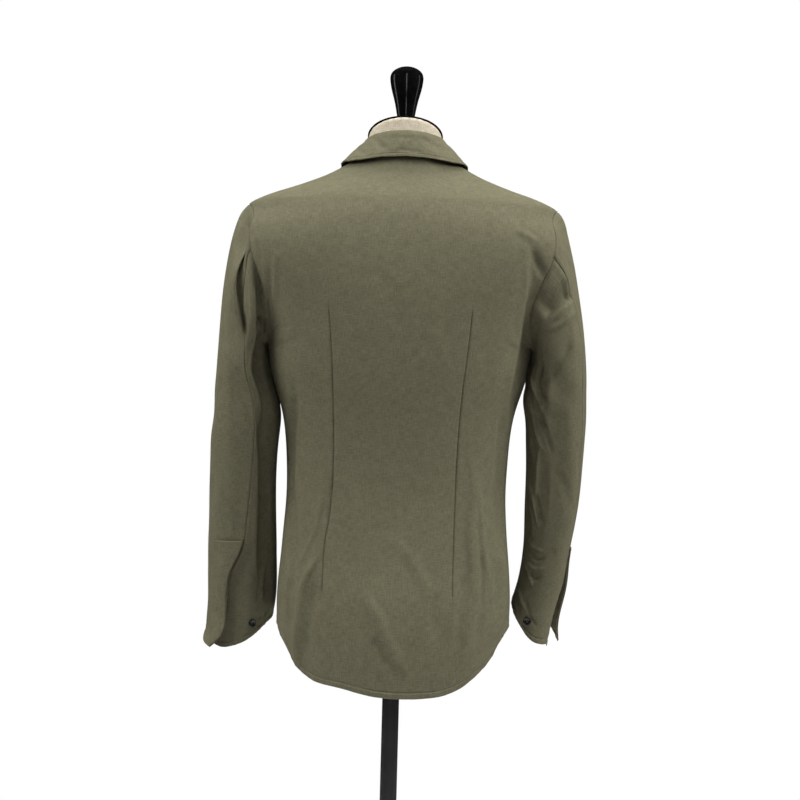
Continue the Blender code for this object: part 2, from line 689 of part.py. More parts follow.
def vent_turn(side, row, panel):
    """The turn of a panel's hind edge, and how far that edge stands off."""
    hind = seam_turns(side, row)[0]
    gap = SLEEVE_SEAM_TURN
    kind, value = row
    if kind != "vent":
        return (hind + gap if panel == "top" else hind - gap), 0.0
    turn = read(VENTS[side], panel + "_edge", value)
    return turn, read(VENTS[side], panel + "_lift", value)


def top_sleeve_point(side, row, turn, lift=0.0):
    """A point of the top sleeve, with the vent's lifted edge."""
    edge, stand_off = vent_turn(side, row, "top")
    away = max(0.0, turn - edge) / VENT_SPREAD
    return sleeve_point(side, turn, row, lift + stand_off * bell(away))


def top_sleeve_points(side):
    columns = (360 + CAP_FORE - CAP_HIND) // ARMHOLE_STEP
    gap = SLEEVE_SEAM_TURN
    grid = []
    for row in sleeve_rows():
        start = vent_turn(side, row, "top")[0]
        end = seam_turns(side, row)[1] + 360 - gap
        grid.append([top_sleeve_point(side, row, turn) for turn in steps(start, end, columns)])
    return grid


def under_sleeve_points(side):
    columns = (CAP_HIND - CAP_FORE) // ARMHOLE_STEP
    gap = SLEEVE_SEAM_TURN
    grid = []
    for row in sleeve_rows():
        end, stand_off = vent_turn(side, row, "under")
        start = seam_turns(side, row)[1] + gap
        points = []
        for turn in steps(start, end, columns):
            lift = stand_off * bell((end - turn) / VENT_SPREAD)
            points.append(sleeve_point(side, turn, row, lift))
        grid.append(points)
    return grid


def moved_out(points, distance):
    """The same sheet, each point moved along the sheet's own normal, away from the side it wraps round."""
    moved = []
    for r, row in enumerate(points):
        moved.append([])
        for c, point in enumerate(row):
            across = row[min(c + 1, len(row) - 1)] - row[max(c - 1, 0)]
            down = points[min(r + 1, len(points) - 1)][c] - points[max(r - 1, 0)][c]
            moved[-1].append(point + across.cross(down).normalized() * distance)
    return moved


def placket_points(side):
    """The placket strip lies on the top sleeve along the vent, from its top to the cuff's edge."""
    strip = [row[: PLACKET_COLUMNS + 1] for row in top_sleeve_points(side)[-len(VENT_ROWS) - 1 :]]
    out = PLACKET_OFF if side == "left" else -PLACKET_OFF
    return moved_out(strip, out)


# ----------------------------------------------------------------------------------------------- collar


def collar_points():
    """The collar's grid: each row runs round the neck; the rows go from neck seam over the fold to edge."""
    rows = [[] for _ in range(9)]
    for around in steps(-COLLAR_ENDS, COLLAR_ENDS, COLLAR_COLUMNS):
        sign = 1 if around >= 0 else -1
        away = abs(around)
        sine, cosine = math.sin(math.radians(away)), math.cos(math.radians(away))
        radial = Vector((sign * sine, cosine, 0)).normalized()
        seam = ring_point(BODY, sign * away, NECK_SEAM)
        seam += Vector((0, 0, SEAM_RISE)) - radial * SEAM_INSIDE
        depth = ROLL_BACK if cosine > 0 else ROLL_FRONT
        roll = Vector((sign * ROLL_HALF_WIDTH * sine, depth * cosine, ROLL_HEIGHT))
        roll.z += ROLL_LEAN * roll.y - (ROLL_DROP * cosine**2 if cosine < 0 else 0)
        edge_angle = sign * read(COLLAR, "edge_angle", away)
        edge_height = read(COLLAR, "edge_height", away)
        lift = read(COLLAR, "edge_lift", away) + CLOTH
        edge = ring_point(BODY, edge_angle, edge_height) + body_normal(edge_angle, edge_height) * lift
        inner = roll - radial * ROLL_RADIUS
        outer = roll + radial * ROLL_RADIUS
        over = roll + Vector((0, 0, ROLL_RADIUS))
        bulge = (radial + Vector((0, 0, FALL_BULGE_RISE))).normalized() * FALL_BULGE
        points = [seam, mix(seam, inner, 0.5) + radial * STAND_BULGE, inner, over, outer]
        points += [mix(outer, edge, down) + bulge * share for down, share in FALL_STEPS]
        points.append(edge)
        for row, point in zip(rows, points):
            row.append(point)
    return rows


# ------------------------------------------------------------------------------------- making the solids


def material(name, colour, roughness, metallic=0.0):
    """A plain Principled material; the colour is linear."""
    made = bpy.data.materials.new(name)
    made.use_nodes = True
    shader = made.node_tree.nodes["Principled BSDF"]
    shader.inputs["Base Color"].default_value = (*colour, 1.0)
    shader.inputs["Roughness"].default_value = roughness
    shader.inputs["Metallic"].default_value = metallic
    made.diffuse_color = (*colour, 1.0)
    return made


def add_object(name, mesh, finish, collection):
    mesh.materials.append(finish)
    mesh.shade_smooth()
    mesh.set_sharp_from_angle(angle=math.radians(35))
    made = bpy.data.objects.new(name, mesh)
    collection.objects.link(made)
    return made


def grid_mesh(name, points, closed=False):
    """A sheet through a grid of points; closed joins the last column to the first."""
    mesh = bpy.data.meshes.new(name)
    sheet = bmesh.new()
    verts = [[sheet.verts.new(point) for point in row] for row in points]
    for low, high in zip(verts, verts[1:]):
        count = len(low)
        for i in range(count if closed else count - 1):
            j = (i + 1) % count
            sheet.faces.new((low[i], low[j], high[j], high[i]))
    if closed:
        sheet.faces.new(reversed(verts[0]))
        sheet.faces.new(verts[-1])
    sheet.to_mesh(mesh)
    sheet.free()
    return mesh


def cloth_panel(name, points, finish, collection, outward):
    """A cloth wall grown inwards from its outer face; outward is a direction that face looks in."""
    mesh = grid_mesh(name, points)
    middle = points[len(points) // 2]
    index = len(points) // 2 * (len(middle) - 1) + len(middle) // 2
    if mesh.polygons[index].normal.dot(outward) < 0:
        mesh.flip_normals()
    made = add_object(name, mesh, finish, collection)
    wall = made.modifiers.new("Cloth wall", "SOLIDIFY")
    wall.thickness = CLOTH
    wall.offset = -1
    return made


def turned(name, profile, finish, collection, sides):
    """A turned solid round Z; the profile (radius, height) runs down the outer side, top to bottom."""
    mesh = bpy.data.meshes.new(name)
    points = [(radius, 0, height) for radius, height in profile]
    mesh.from_pydata(points, [(i, i + 1) for i in range(len(points) - 1)], [])
    made = add_object(name, mesh, finish, collection)
    screw = made.modifiers.new("Turned", "SCREW")
    screw.steps = sides
    screw.render_steps = sides
    screw.use_merge_vertices = True
    screw.merge_threshold = 0.0001
    screw.use_smooth_shade = True
    return made


def button_profile(radius, thick):
    """A flat button with a rounded rim and a shallow dish, its underside at 0."""
    return (
        (0.0, thick * 0.70),
        (radius * 0.60, thick * 0.72),
        (radius * 0.76, thick),
        (radius * 0.93, thick * 0.92),
        (radius, thick * 0.55),
        (radius * 0.88, thick * 0.08),
        (radius * 0.70, 0.0),
        (0.0, 0.0),
    )


def add_button(name, radius, thick, near, outward, panel, finish, collection):
    """A button seated just off the panel's own facets, next to this point."""
    graph = bpy.context.evaluated_depsgraph_get()
    surface = panel.evaluated_get(graph)
    found, middle, normal, _ = surface.ray_cast(near + outward * BUTTON_REACH, -outward)
    if not found:
        raise RuntimeError(f"{name}: no cloth under it")
    side = normal.orthogonal().normalized()
    rim = [Quaternion(normal, math.radians(turn)) @ side * radius for turn in range(0, 360, RIM_STEP)]
    seats = [0.0]
    for offset in rim:
        found, spot, _, _ = surface.ray_cast(middle + offset + normal * BUTTON_REACH, -normal)
        if found:
            seats.append((spot - middle).dot(normal))
    made = turned(name, button_profile(radius, thick), finish, collection, 16)
    made.rotation_mode = "QUATERNION"
    made.rotation_quaternion = normal.to_track_quat("Z", "Y")
    made.location = middle + normal * (max(seats) + ON_CLOTH)
    return made


# ------------------------------------------------------------------------------------------- sub-parts


def add_form(linen, lacquer, steel, collection):
    """The dress form: torso, neck cap, finial, pole and base."""
    rings = [row._asdict() for row in FORM]
    for row in BODY:
        if row.height < FORM_SHOULDER_FROM:
            continue
        ring = row._asdict()
        ring["half_width"] -= (CLOTH + REST_GAP) * SHOULDER_SLOPE[0]
        ring["height"] -= (CLOTH + REST_GAP) * SHOULDER_SLOPE[1]
        ring["back"] -= FORM_SHOULDER_DRAWN
        ring["front"] -= FORM_SHOULDER_DRAWN
        ring["y_power"] += FORM_SHOULDER_PINCH
        rings.append(ring)
    rings += [row._asdict() for row in FORM_NECK]
    columns = FORM[0]._fields
    rows = table(" ".join(columns), *([ring[column] for column in columns] for ring in rings))
    points = [[ring_point(rows, -angle, row.height) for angle in range(0, 360, 12)] for row in rows]
    torso = grid_mesh("form_torso", points, closed=True)
    add_object("form_torso", torso, linen, collection)

    cap_profile = (
        (0.0, CAP_THICK),
        (CAP_RADIUS * 0.93, CAP_THICK),
        (CAP_RADIUS, CAP_THICK * 0.72),
        (CAP_RADIUS, CAP_THICK * 0.28),
        (CAP_RADIUS * 0.97, 0.0),
        (0.0, 0.0),
    )
    cap = turned("form_neck_cap", cap_profile, lacquer, collection, 36)
    cap.rotation_euler = (math.atan(CAP_LEAN), 0, 0)
    cap.location = (0, 0, NECK_TOP + ON_CLOTH / math.cos(math.atan(CAP_LEAN)))

    # The finial stands upright, so its foot is cut to the neck cap's slope.
    slope = math.atan(CAP_LEAN)
    seat = NECK_TOP + (2 * ON_CLOTH + CAP_THICK) / math.cos(slope)
    foot_radius = 0.0105
    foot = seat + CAP_LEAN * foot_radius
    finial_profile = (
        (0.0, FINIAL_TOP),
        (0.0085, FINIAL_TOP - 0.0012),
        (0.0160, FINIAL_TOP - 0.0046),
        (0.0206, FINIAL_TOP - 0.0092),
        (0.0221, FINIAL_TOP - 0.0145),
        (0.0218, FINIAL_TOP - 0.0200),
        (0.0205, FINIAL_TOP - 0.0280),
        (0.0182, FINIAL_TOP - 0.0370),
        (0.0160, FINIAL_TOP - 0.0450),
        (0.0140, FINIAL_TOP - 0.0540),
        (0.0122, FINIAL_TOP - 0.0640),
        (0.0110, FINIAL_TOP - 0.0740),
        (foot_radius, foot),
        (0.0, foot),
    )
    finial = turned("form_finial", finial_profile, lacquer, collection, 24)
    graph = bpy.context.evaluated_depsgraph_get()
    graph.update()
    mesh = bpy.data.meshes.new_from_object(finial.evaluated_get(graph))
    for vert in mesh.vertices:
        if vert.co.z < foot + ON_CLOTH:
            vert.co.z = seat + CAP_LEAN * vert.co.y
    finial.modifiers.clear()
    finial.data = mesh

    pole_top = TORSO_BOTTOM - ON_CLOTH
    pole_foot = HUB_HEIGHT + ON_CLOTH
    pole_profile = ((0.0, pole_top), (POLE_RADIUS, pole_top), (POLE_RADIUS, pole_foot), (0.0, pole_foot))
    turned("form_pole", pole_profile, steel, collection, 24)

    base_profile = (
        (0.0, HUB_HEIGHT),
        (HUB_RADIUS * 0.80, HUB_HEIGHT),
        (HUB_RADIUS * 0.88, HUB_HEIGHT * 0.92),
        (HUB_RADIUS, BASE_THICK * 1.7),
        (HUB_RADIUS * 1.35, BASE_THICK * 1.15),
        (BASE_RADIUS * 0.93, BASE_THICK),
        (BASE_RADIUS * 0.985, BASE_THICK * 0.80),
        (BASE_RADIUS, BASE_THICK * 0.45),
        (BASE_RADIUS, 0.0),
        (0.0, 0.0),
    )
    turned("form_base", base_profile, steel, collection, 48)


def add_body(cloth, collection):
    cloth_panel("back", back_points(), cloth, collection, Vector((0, 1, 0)))
    for side in ("left", "right"):
        cloth_panel("front_" + side, front_points(side), cloth, collection, Vector((0, -1, 0)))


def add_sleeves(cloth, collection):
    for side in ("left", "right"):
        pieces = (
            ("top_sleeve_", "top", top_sleeve_points(side)),
            ("under_sleeve_", "under", under_sleeve_points(side)),
            ("sleeve_placket_", "placket", placket_points(side)),
        )
        for prefix, piece, points in pieces:
            cloth_panel(prefix + side, points, cloth, collection, Vector(FACING[side][piece]))


def add_cuff_buttons(black, collection):
    """One small button on each under sleeve, near the vent's edge and the cuff's."""
    for side, (turn, share) in CUFF_BUTTONS.items():
        row = ("vent", share)
        point = sleeve_point(side, turn, row)
        across = sleeve_point(side, turn + NEAR_TURN, row) - sleeve_point(side, turn - NEAR_TURN, row)
        lower, upper = ("vent", share + NEAR_SHARE), ("vent", share - NEAR_SHARE)
        down = sleeve_point(side, turn, lower) - sleeve_point(side, turn, upper)
        outward = across.cross(down).normalized()
        if outward.y < 0:
            outward.negate()
        panel = collection.objects["under_sleeve_" + side]
        radius, thick = CUFF_BUTTON_RADIUS, CUFF_BUTTON_THICK
        add_button("cuff_button_" + side, radius, thick, point, outward, panel, black, collection)


def add_front_buttons(black, collection):
    """Five buttons down the middle of the left front."""
    panel = collection.objects["front_left"]
    for number, height in enumerate(BUTTON_HEIGHTS, start=1):
        ring = height
        for _ in range(8):   # rings dip at the front, so the one that passes here is closed in on
            ring += height - front_point("left", 180, ring).z
        point = front_point("left", 180, ring)
        outward = body_normal(180, ring)
        name = f"front_button_{number}"
        add_button(name, BUTTON_RADIUS, FRONT_BUTTON_THICK, point, outward, panel, black, collection)


def main():
    for old in list(bpy.data.objects):
        bpy.data.objects.remove(old)
    collection = bpy.data.collections.new("coverall_jacket")
    bpy.context.scene.collection.children.link(collection)

    olive_cloth = material("olive linen cotton", (0.096, 0.088, 0.052), 0.9)
    cream_linen = material("cream linen", (0.62, 0.56, 0.44), 0.85)
    black_lacquer = material("black lacquered wood", (0.006, 0.006, 0.006), 0.2)
    black_steel = material("black painted steel", (0.006, 0.006, 0.006), 0.3)
    black_button = material("black horn button", (0.010, 0.010, 0.010), 0.35)

    add_form(cream_linen, black_lacquer, black_steel, collection)
    add_body(olive_cloth, collection)
    add_sleeves(olive_cloth, collection)
    cloth_panel("collar", collar_points(), olive_cloth, collection, Vector((0, 0, 1)))
    add_cuff_buttons(black_button, collection)
    add_front_buttons(black_button, collection)


main()
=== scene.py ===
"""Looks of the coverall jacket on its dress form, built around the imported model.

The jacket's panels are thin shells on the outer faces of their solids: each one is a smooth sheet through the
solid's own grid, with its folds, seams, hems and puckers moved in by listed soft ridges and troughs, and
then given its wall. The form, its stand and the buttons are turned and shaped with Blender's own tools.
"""

import math

import bmesh
import bpy
import json
import numpy as np
from mathutils import Matrix, Vector
from mathutils.kdtree import KDTree

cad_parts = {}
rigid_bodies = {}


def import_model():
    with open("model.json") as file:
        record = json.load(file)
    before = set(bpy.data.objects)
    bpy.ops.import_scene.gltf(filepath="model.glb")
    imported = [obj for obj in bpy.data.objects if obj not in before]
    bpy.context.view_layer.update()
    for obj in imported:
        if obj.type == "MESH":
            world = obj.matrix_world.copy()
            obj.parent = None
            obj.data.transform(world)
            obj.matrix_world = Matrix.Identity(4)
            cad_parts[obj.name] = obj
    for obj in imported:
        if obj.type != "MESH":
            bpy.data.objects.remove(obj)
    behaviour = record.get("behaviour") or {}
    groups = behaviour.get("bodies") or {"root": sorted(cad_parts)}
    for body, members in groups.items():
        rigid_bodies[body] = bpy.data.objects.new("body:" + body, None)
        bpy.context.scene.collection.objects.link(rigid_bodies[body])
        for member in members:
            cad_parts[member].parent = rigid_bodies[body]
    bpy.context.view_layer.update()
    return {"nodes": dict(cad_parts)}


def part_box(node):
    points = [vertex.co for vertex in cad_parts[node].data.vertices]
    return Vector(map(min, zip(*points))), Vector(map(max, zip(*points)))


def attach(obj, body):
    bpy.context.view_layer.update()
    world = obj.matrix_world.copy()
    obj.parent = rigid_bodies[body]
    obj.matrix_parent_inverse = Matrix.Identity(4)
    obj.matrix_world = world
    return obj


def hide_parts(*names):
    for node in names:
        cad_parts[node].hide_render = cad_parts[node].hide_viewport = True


bl_info = {
    "name": "Coverall jacket on a dress form",
    "version": (1, 0, 0),
    "blender": (4, 5, 0),
    "location": "3D View > Sidebar > Jacket",
    "description": "Sews the jacket's cloth, turns the form's wood and steel, and sets the studio",
    "category": "Object",
}

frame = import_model()

MM = 0.001
MERGE = 1e-5              # points of a solid that lie nearer than this, in metres, are one point
TINY = 1e-6               # what two equal places along a sheet may differ by
FAR = 1e9                 # farther off than anything
NOISE_MARGIN = 7.0        # cells of a noise that lie before its first place

# The photograph's camera: metres to one of its 800 pixels at the middle of the body, the distance and the
# height of the eye, its roll, and how far the form's axis lies beside the picture's middle, in pixels.
PIXEL = 0.00133
EYE_DISTANCE = 1.8
EYE_HEIGHT = 1.12
ROLL = math.atan2(16.5, 629)
AXIS_BESIDE = 1.5
PICTURE = 800
SENSOR = 36.0


# -------------------- sizes of the cloth

# Each panel: its solid's rows and columns, the spacing of its sheet's grid in mm, which is finest where the
# photograph shows the smallest crumples, and how its top, bottom, start and end are finished.
SIDES = ("top", "bottom", "start", "end")
PANELS = {
    "back": (33, 23, 2.9, "seam hem seam seam"),
    "front_left": (33, 10, 3.6, "seam hem seam hem"),
    "front_right": (33, 10, 3.6, "seam hem hem seam"),
    "top_sleeve_left": (21, 14, 2.2, "seam hem seam seam"),
    "top_sleeve_right": (21, 14, 2.2, "seam hem seam seam"),
    "under_sleeve_left": (21, 12, 1.7, "seam hem seam seam"),
    "under_sleeve_right": (21, 12, 1.7, "seam hem seam seam"),
    "sleeve_placket_left": (7, 4, 1.2, "hem hem hem hem"),
    "sleeve_placket_right": (7, 4, 1.2, "hem hem hem hem"),
    "collar": (9, 29, 1.8, "seam hem hem hem"),
}
ENDS = {name: dict(zip(SIDES, panel[3].split())) for name, panel in PANELS.items()}
WALL_EDGE = 1.75 * MM     # only the solids' rim faces have an edge as short as the wall's 1.6 mm
DART_COLUMNS = (7, 15)
VENT_ROW = 14             # the sleeve grid's row at the vent's top: the hind-arm sides are sewn down to here

# Where a sheet's lines lie close together, in metres from a seam, from a hemmed side and from a dart.
SEAM_LINES = (0.0, 0.00035, 0.0008, 0.0014, 0.0022, 0.0034)
HEM_LINES = (0.0, 0.0006, 0.0014, 0.0026, 0.0040, 0.0050, 0.0056, 0.0062, 0.0068, 0.0078, 0.0096)
DART_LINES = (-0.0035, -0.0021, -0.0012, -0.0006, 0.0, 0.0006, 0.0012, 0.0021, 0.0035)

# Sewing the panels' edges together.
SEAM_REACH = 11 * MM      # how far apart two panels' edges may lie and still be sewn together
SEAM_LEFT = 0.02 * MM     # what stays between the two edges
FIRST_SETTLE = 16 * MM    # how far into the cloth an edge's move is eased out while it is still unfolded
FIRST_ROUNDS = 3          # how often the unfolded cloth is sewn
LAST_SETTLE = (9 * MM, 5 * MM, 4 * MM)       # and the same for each time that the folded cloth is sewn again
NEVER_SEWN = {"front_left", "front_right"}   # these two only lap

# Where the sleeves' inner sides rest on the body: down to which height, since the picture's arm gaps start
# there; how far forward, its half width and the height over which it fades; the widest gap that is closed and
# the smallest share of a move that is made; and how far out the body's side starts and the arm's inner half
# ends.
TOUCH_DOWN_TO = {"left": 1.106, "right": 1.140}
TOUCH_AT, TOUCH_HALF_WIDTH, TOUCH_FADE = -0.004, 0.026, 0.014
TOUCH_REACH, TOUCH_LEAST = 12 * MM, 0.001
BODY_SIDE, ARM_MIDDLE = 0.10, 0.205

# Seams: the roll's radius, and the lip's distance and half width. Lips are in mm, by panel and side, "hind"
# being the hind-arm side.
SEAM_RADIUS = 1.5 * MM
PLACKET_ROLL = 0.8 * MM
LIP_OFF = 3.4 * MM
LIP_HALF_WIDTH = 3.2 * MM
LIPS = {
    ("back", "start"): 0.4,
    ("back", "end"): 0.5,
    ("top_sleeve_left", "hind"): 0.3,
    ("under_sleeve_left", "hind"): 0.5,
    ("top_sleeve_right", "hind"): 0.7,
    ("under_sleeve_right", "hind"): 0.6,
    ("under_sleeve_right", "top"): 0.4,
}

# Hems: how far the band stands out (less along a vent), how far its step lies past the stitches and how wide
# the step is, the rounded edge's width and dip, and the stitch line's half width and dip.
HEM_RISE, VENT_RISE = 0.45 * MM, 0.3 * MM
HEM_STEP_OFF, HEM_STEP = 0.5 * MM, 1.4 * MM
HEM_EDGE, HEM_EDGE_DIP = 1.0 * MM, 0.25 * MM
STITCH_HALF_WIDTH, STITCH_DIP = 0.9 * MM, 0.55 * MM
PUCKER = 0.40 * MM        # height of a hem's puckers
PUCKER_CELLS = ((1.0, 5.2 * MM), (0.6, 2.7 * MM))   # share of that height, and length along the hem
PUCKER_ACROSS = 30 * MM
PUCKER_REACH = 3.2        # hem widths over which they fade
VENT_FADE = 8 * MM        # over which a sleeve's seam turns into its vent's hem
SEEDS_APART = 10

# Darts: the heights of their ends, over what height they fade, and their groove and lip.
DART_LOW, DART_HIGH, DART_FADE = 0.866, 1.240, 0.012
DART_GROOVE, DART_HALF_WIDTH = 1.3 * MM, 1.5 * MM
DART_LIP, DART_LIP_OFF, DART_LIP_HALF_WIDTH = 0.55 * MM, 4.5 * MM, 4.2 * MM

# Folds.
LINE_STEP = 4             # pixels between the points of a drawn line's smooth curve
CREASE_FADE = 0.25        # share of a crease's length over which each of its ends fades
CREASE_TIP = 0.05         # what is left of its depth at its tips
FALL_PEAK = 27 / 4        # makes the deepest place of a fall as deep as its depth
CREASE_FACING = 0.35      # a crease is at full depth where the cloth faces the eye by this much
CREASE_SLACK = 0.1        # and starts this share of that before the cloth faces the eye at all
FALL_FACING = 0.4         # a fall is at full depth from here, and starts at 0
UNEVEN = 0.40 * MM        # the cloth's own slight unevenness
UNEVEN_CELLS = ((1.0, 0.034, 0.075), (0.5, 0.016, 0.034))   # share of it, and its cells across and down
SHARP_ANGLE = math.radians(78)

# Sewing thread.
THREAD_ARCH = ((0.16, 0.2), (0.5, 0.7), (0.84, 0.2))   # a stitch's rings: how far along it, and how far out
THREAD_RADIUS = 0.27 * MM
STITCH_PITCH = 3.3 * MM
STITCH_SHARE = 0.74       # of the pitch, the rest lies under the cloth
PLACKET_STITCH = 3.0 * MM
PLACKET_BARS = (2.5 * MM, 12.0 * MM)   # the two lines across a placket's top
VENT_CLEAR = 0.01         # share of a sleeve's length from its vent's top to its first stitch

# Creases by panel, as (half width in mm, depth in mm, lean, line): ridges over 0, troughs below. A line is
# drawn in the photograph's own frame, across and down; a lean over 0 steepens the side on the picture's right
# when it is drawn downwards.
CREASES = {
    "back": (
        (8, 2.8, 0.4, "528,250 530,275 525,305 521,332 517,362 508,410 505,440"),
        (7, -3.0, 0.0, "533,244 537,258 544,274 545,286"),
        (6, 2.0, 0.3, "516,229 527,235 538,242"),
        (6, 1.9, -0.3, "274,248 275,276 272,305"),
        (6, -2.5, 0.0, "268,262 270,290 267,318"),
        (2.6, -0.9, 0.0, "270,325 283,326 298,328"),
        (4, -2.5, 0.0, "256,238 259,250 262,262"),
        (6.5, 4.8, 0.35, "325,549 312,567 303,590 299,612 297,642 301,674"),
        (11, -3.4, 0.0, "319,580 312,602 308,630 311,658"),
        (6.5, -3.8, 0.0, "291,572 289,600 292,634"),
        (5, 2.1, 0.2, "325,487 321,505 318,524 309,546 296,572"),
        (4, -1.4, 0.0, "333,470 330,500 327,530"),
        (11, 4.0, -0.2, "470,452 474,492 470,535 474,572 470,617 461,674"),
        (4.5, 2.2, -0.3, "477,478 480,512 482,535 487,570 491,596 494,628"),
        (5, -2.9, 0.0, "480,546 482,580 482,612"),
        (6, 3.0, 0.0, "496,540 504,570 505,592 501,620 492,647"),
        (5, -2.5, 0.0, "496,566 497,592 493,614"),
        (9, -2.6, 0.0, "463,560 461,602 456,655"),
        (13, 1.8, 0.2, "390,533 410,557 425,580 431,608"),
        (13, 2.2, 0.2, "358,588 377,615 395,655 412,680"),
        (12, -2.2, 0.0, "372,638 390,672"),
        (12, -1.4, 0.0, "436,560 432,600 436,640"),
        (14, 1.2, 0.0, "345,470 352,510 350,545"),
        (13, -0.8, 0.0, "352,330 362,350 360,385"),
        (16, -0.8, 0.0, "372,262 392,300 398,335"),
        (16, 0.6, 0.0, "420,320 440,350 446,390"),
        (7, 1.6, 0.0, "286,440 293,470 296,500"),
        (7, -1.8, 0.0, "506,460 500,500 503,530"),
    ),
    "top_sleeve_left": (
        (8.5, -14.0, 0.0, "247,205 245,222 242,240 240,256 239,275 240.5,300 242.5,318 244.5,350"),
        (7, 0.9, 0.0, "225,318 226,346 229,390 229,432 231,462"),
        (7, 0.7, 0.0, "216,440 219,480 215,520"),
        (8, -0.7, 0.0, "238,420 242,470 238,515"),
        (6, -1.0, 0.0, "211,520 213,545 210,570"),
        (6, 0.6, 0.0, "226,500 232,520 229,545"),
    ),
    "under_sleeve_left": (
        (4.5, 1.7, 0.45, "253,424 257,450 258,487 256,537 257,566 264,604"),
        (8, -12.0, 0.0, "255,256 259.5,285 262,310 262.5,345"),
        (6.5, -14.0, 0.0, "243,240 241,258 240,275 241.5,300 243,318 245,352"),
        (11, -3.0, 0.3, "262,400 264,450 265,500 263,550"),
        (5, 1.5, 0.0, "249,262 251,300 252,340"),
        (3.0, 1.4, 0.0, "254,616 262,607 267,598"),
        (3.0, -1.1, 0.0, "256,620 266,612 271,602"),
        (3.0, 1.8, 0.0, "262,610 264,618 262,626"),
        (4.0, 1.8, 0.2, "268,560 263,585 262,606"),
        (4.0, -1.8, 0.0, "262,566 259,588 257,604"),
        (3.0, 0.9, 0.0, "248,626 244,634"),
        (3.0, 1.0, 0.0, "252,633 259,626"),
        (3.0, -0.7, 0.0, "248,640 252,632"),
        (7, -0.7, 0.0, "240,590 243,620 238,640"),
    ),
    "collar": (
        (7, -1.3, 0.0, "372,134 378,143 388,149"),
        (6, 1.0, 0.0, "404,137 400,145 390,151"),
        (7, -1.2, 0.2, "420,136 431,144 445,151"),
        (6, 0.9, 0.0, "436,134 449,148 458,160"),
        (6, -1.0, 0.0, "352,143 358,150 369,154"),
        (4, -0.7, 0.0, "396,149 410,151 424,152"),
    ),
    "sleeve_placket_left": (
        (2.6, 1.1, 0.2, "212,592 215,602 218,613"),
        (4.0, 0.6, 0.0, "222,578 224,592 226,610"),
        (4.0, -0.6, 0.0, "221,615 224,628"),
    ),
    "top_sleeve_right": (
        (4, 1.0, 0.0, "557,212 564,222 568,234"),
        (4, 0.8, 0.0, "560,245 568,257 574,270"),
    ),
    "under_sleeve_right": (
        (19, -9.0, -0.6, "542,318 553,309 566,300 578,291"),
        (6, 1.8, 0.0, "545,331 556,327 570,317 578,309"),
        (26, -2.0, 0.0, "566,330 559,400 556,460 552,530 545,600"),
        (9, -3.1, 0.2, "575,338 567,355 558,371 544,393"),
        (3.0, 3.8, 0.3, "535,361 533,376 535,392 541,405 545,418"),
        (4.5, -4.6, 0.0, "538,358 541,366 539,378 541,392 547,406"),
        (3.5, -2.5, 0.0, "529,372 529,392 533,408"),
        (3.0, 3.2, 0.2, "530,404 534,420 538,438 544,452"),
        (4.5, -3.4, -0.3, "540,418 546,436 553,456"),
        (3.5, -2.4, 0.0, "530,424 533,444 537,462"),
        (3.4, 2.4, 0.0, "541,440 538,463 536,488 533,512"),
        (3.0, 3.0, 0.3, "531,484 535,508 539,532"),
        (3, 1.9, 0.0, "528,458 529,482 532,500"),
        (4.0, -2.6, 0.0, "535,490 539,510 543,528"),
        (4.5, -2.4, 0.0, "526,505 529,530 526,552"),
        (3.4, 2.0, 0.0, "526,536 534,548 545,552"),
        (4, -2.4, 0.0, "530,552 538,560 546,556"),
        (3.4, 1.8, 0.0, "526,560 536,570 546,566"),
        (4, -2.2, 0.0, "528,572 536,579 543,574"),
        (3.5, 1.8, 0.0, "524,560 529,575 533,590"),
        (3.0, 2.2, 0.0, "518,583 521,600 527,613"),
        (3.0, -1.9, 0.0, "514,590 516,602 521,614"),
        (3.0, -1.6, 0.0, "526,600 530,616 538,628"),
        (8, 1.4, 0.0, "552,552 560,547 567,540"),
        (10, -1.4, 0.0, "556,470 566,490 572,520"),
        (10, 1.3, 0.0, "566,395 570,430 566,470"),
        (3.0, 1.2, 0.0, "578,310 579.5,345 580,390 579,440"),
    ),
}

# Places where the cloth folds along a line and falls away beside it, as (width in mm, depth in mm, the share
# of its length over which each end fades, line). It falls on the picture's right of a line that is drawn
# downwards, and on the left of one that is drawn upwards.
FALLS = {
    "back": (
        (30, 6.0, 0.15, "527,240 528,262 526,290 523,310 520,332 516,358 510,390 505,425"),
        (17, 4.5, 0.25, "500,400 496,440 494,480 495,530 497,570"),
        (18, 6.5, 0.25, "300,590 298,540 296,490 296,440 299,400 296,365"),
    ),
    "under_sleeve_left": (
        (
            27, 5.0, 0.16,
            "242,305 244,330 246,360 249,385 253,410 257,435 "
            "258,460 258,490 257,530 256,565 263,606",
        ),
    ),
}

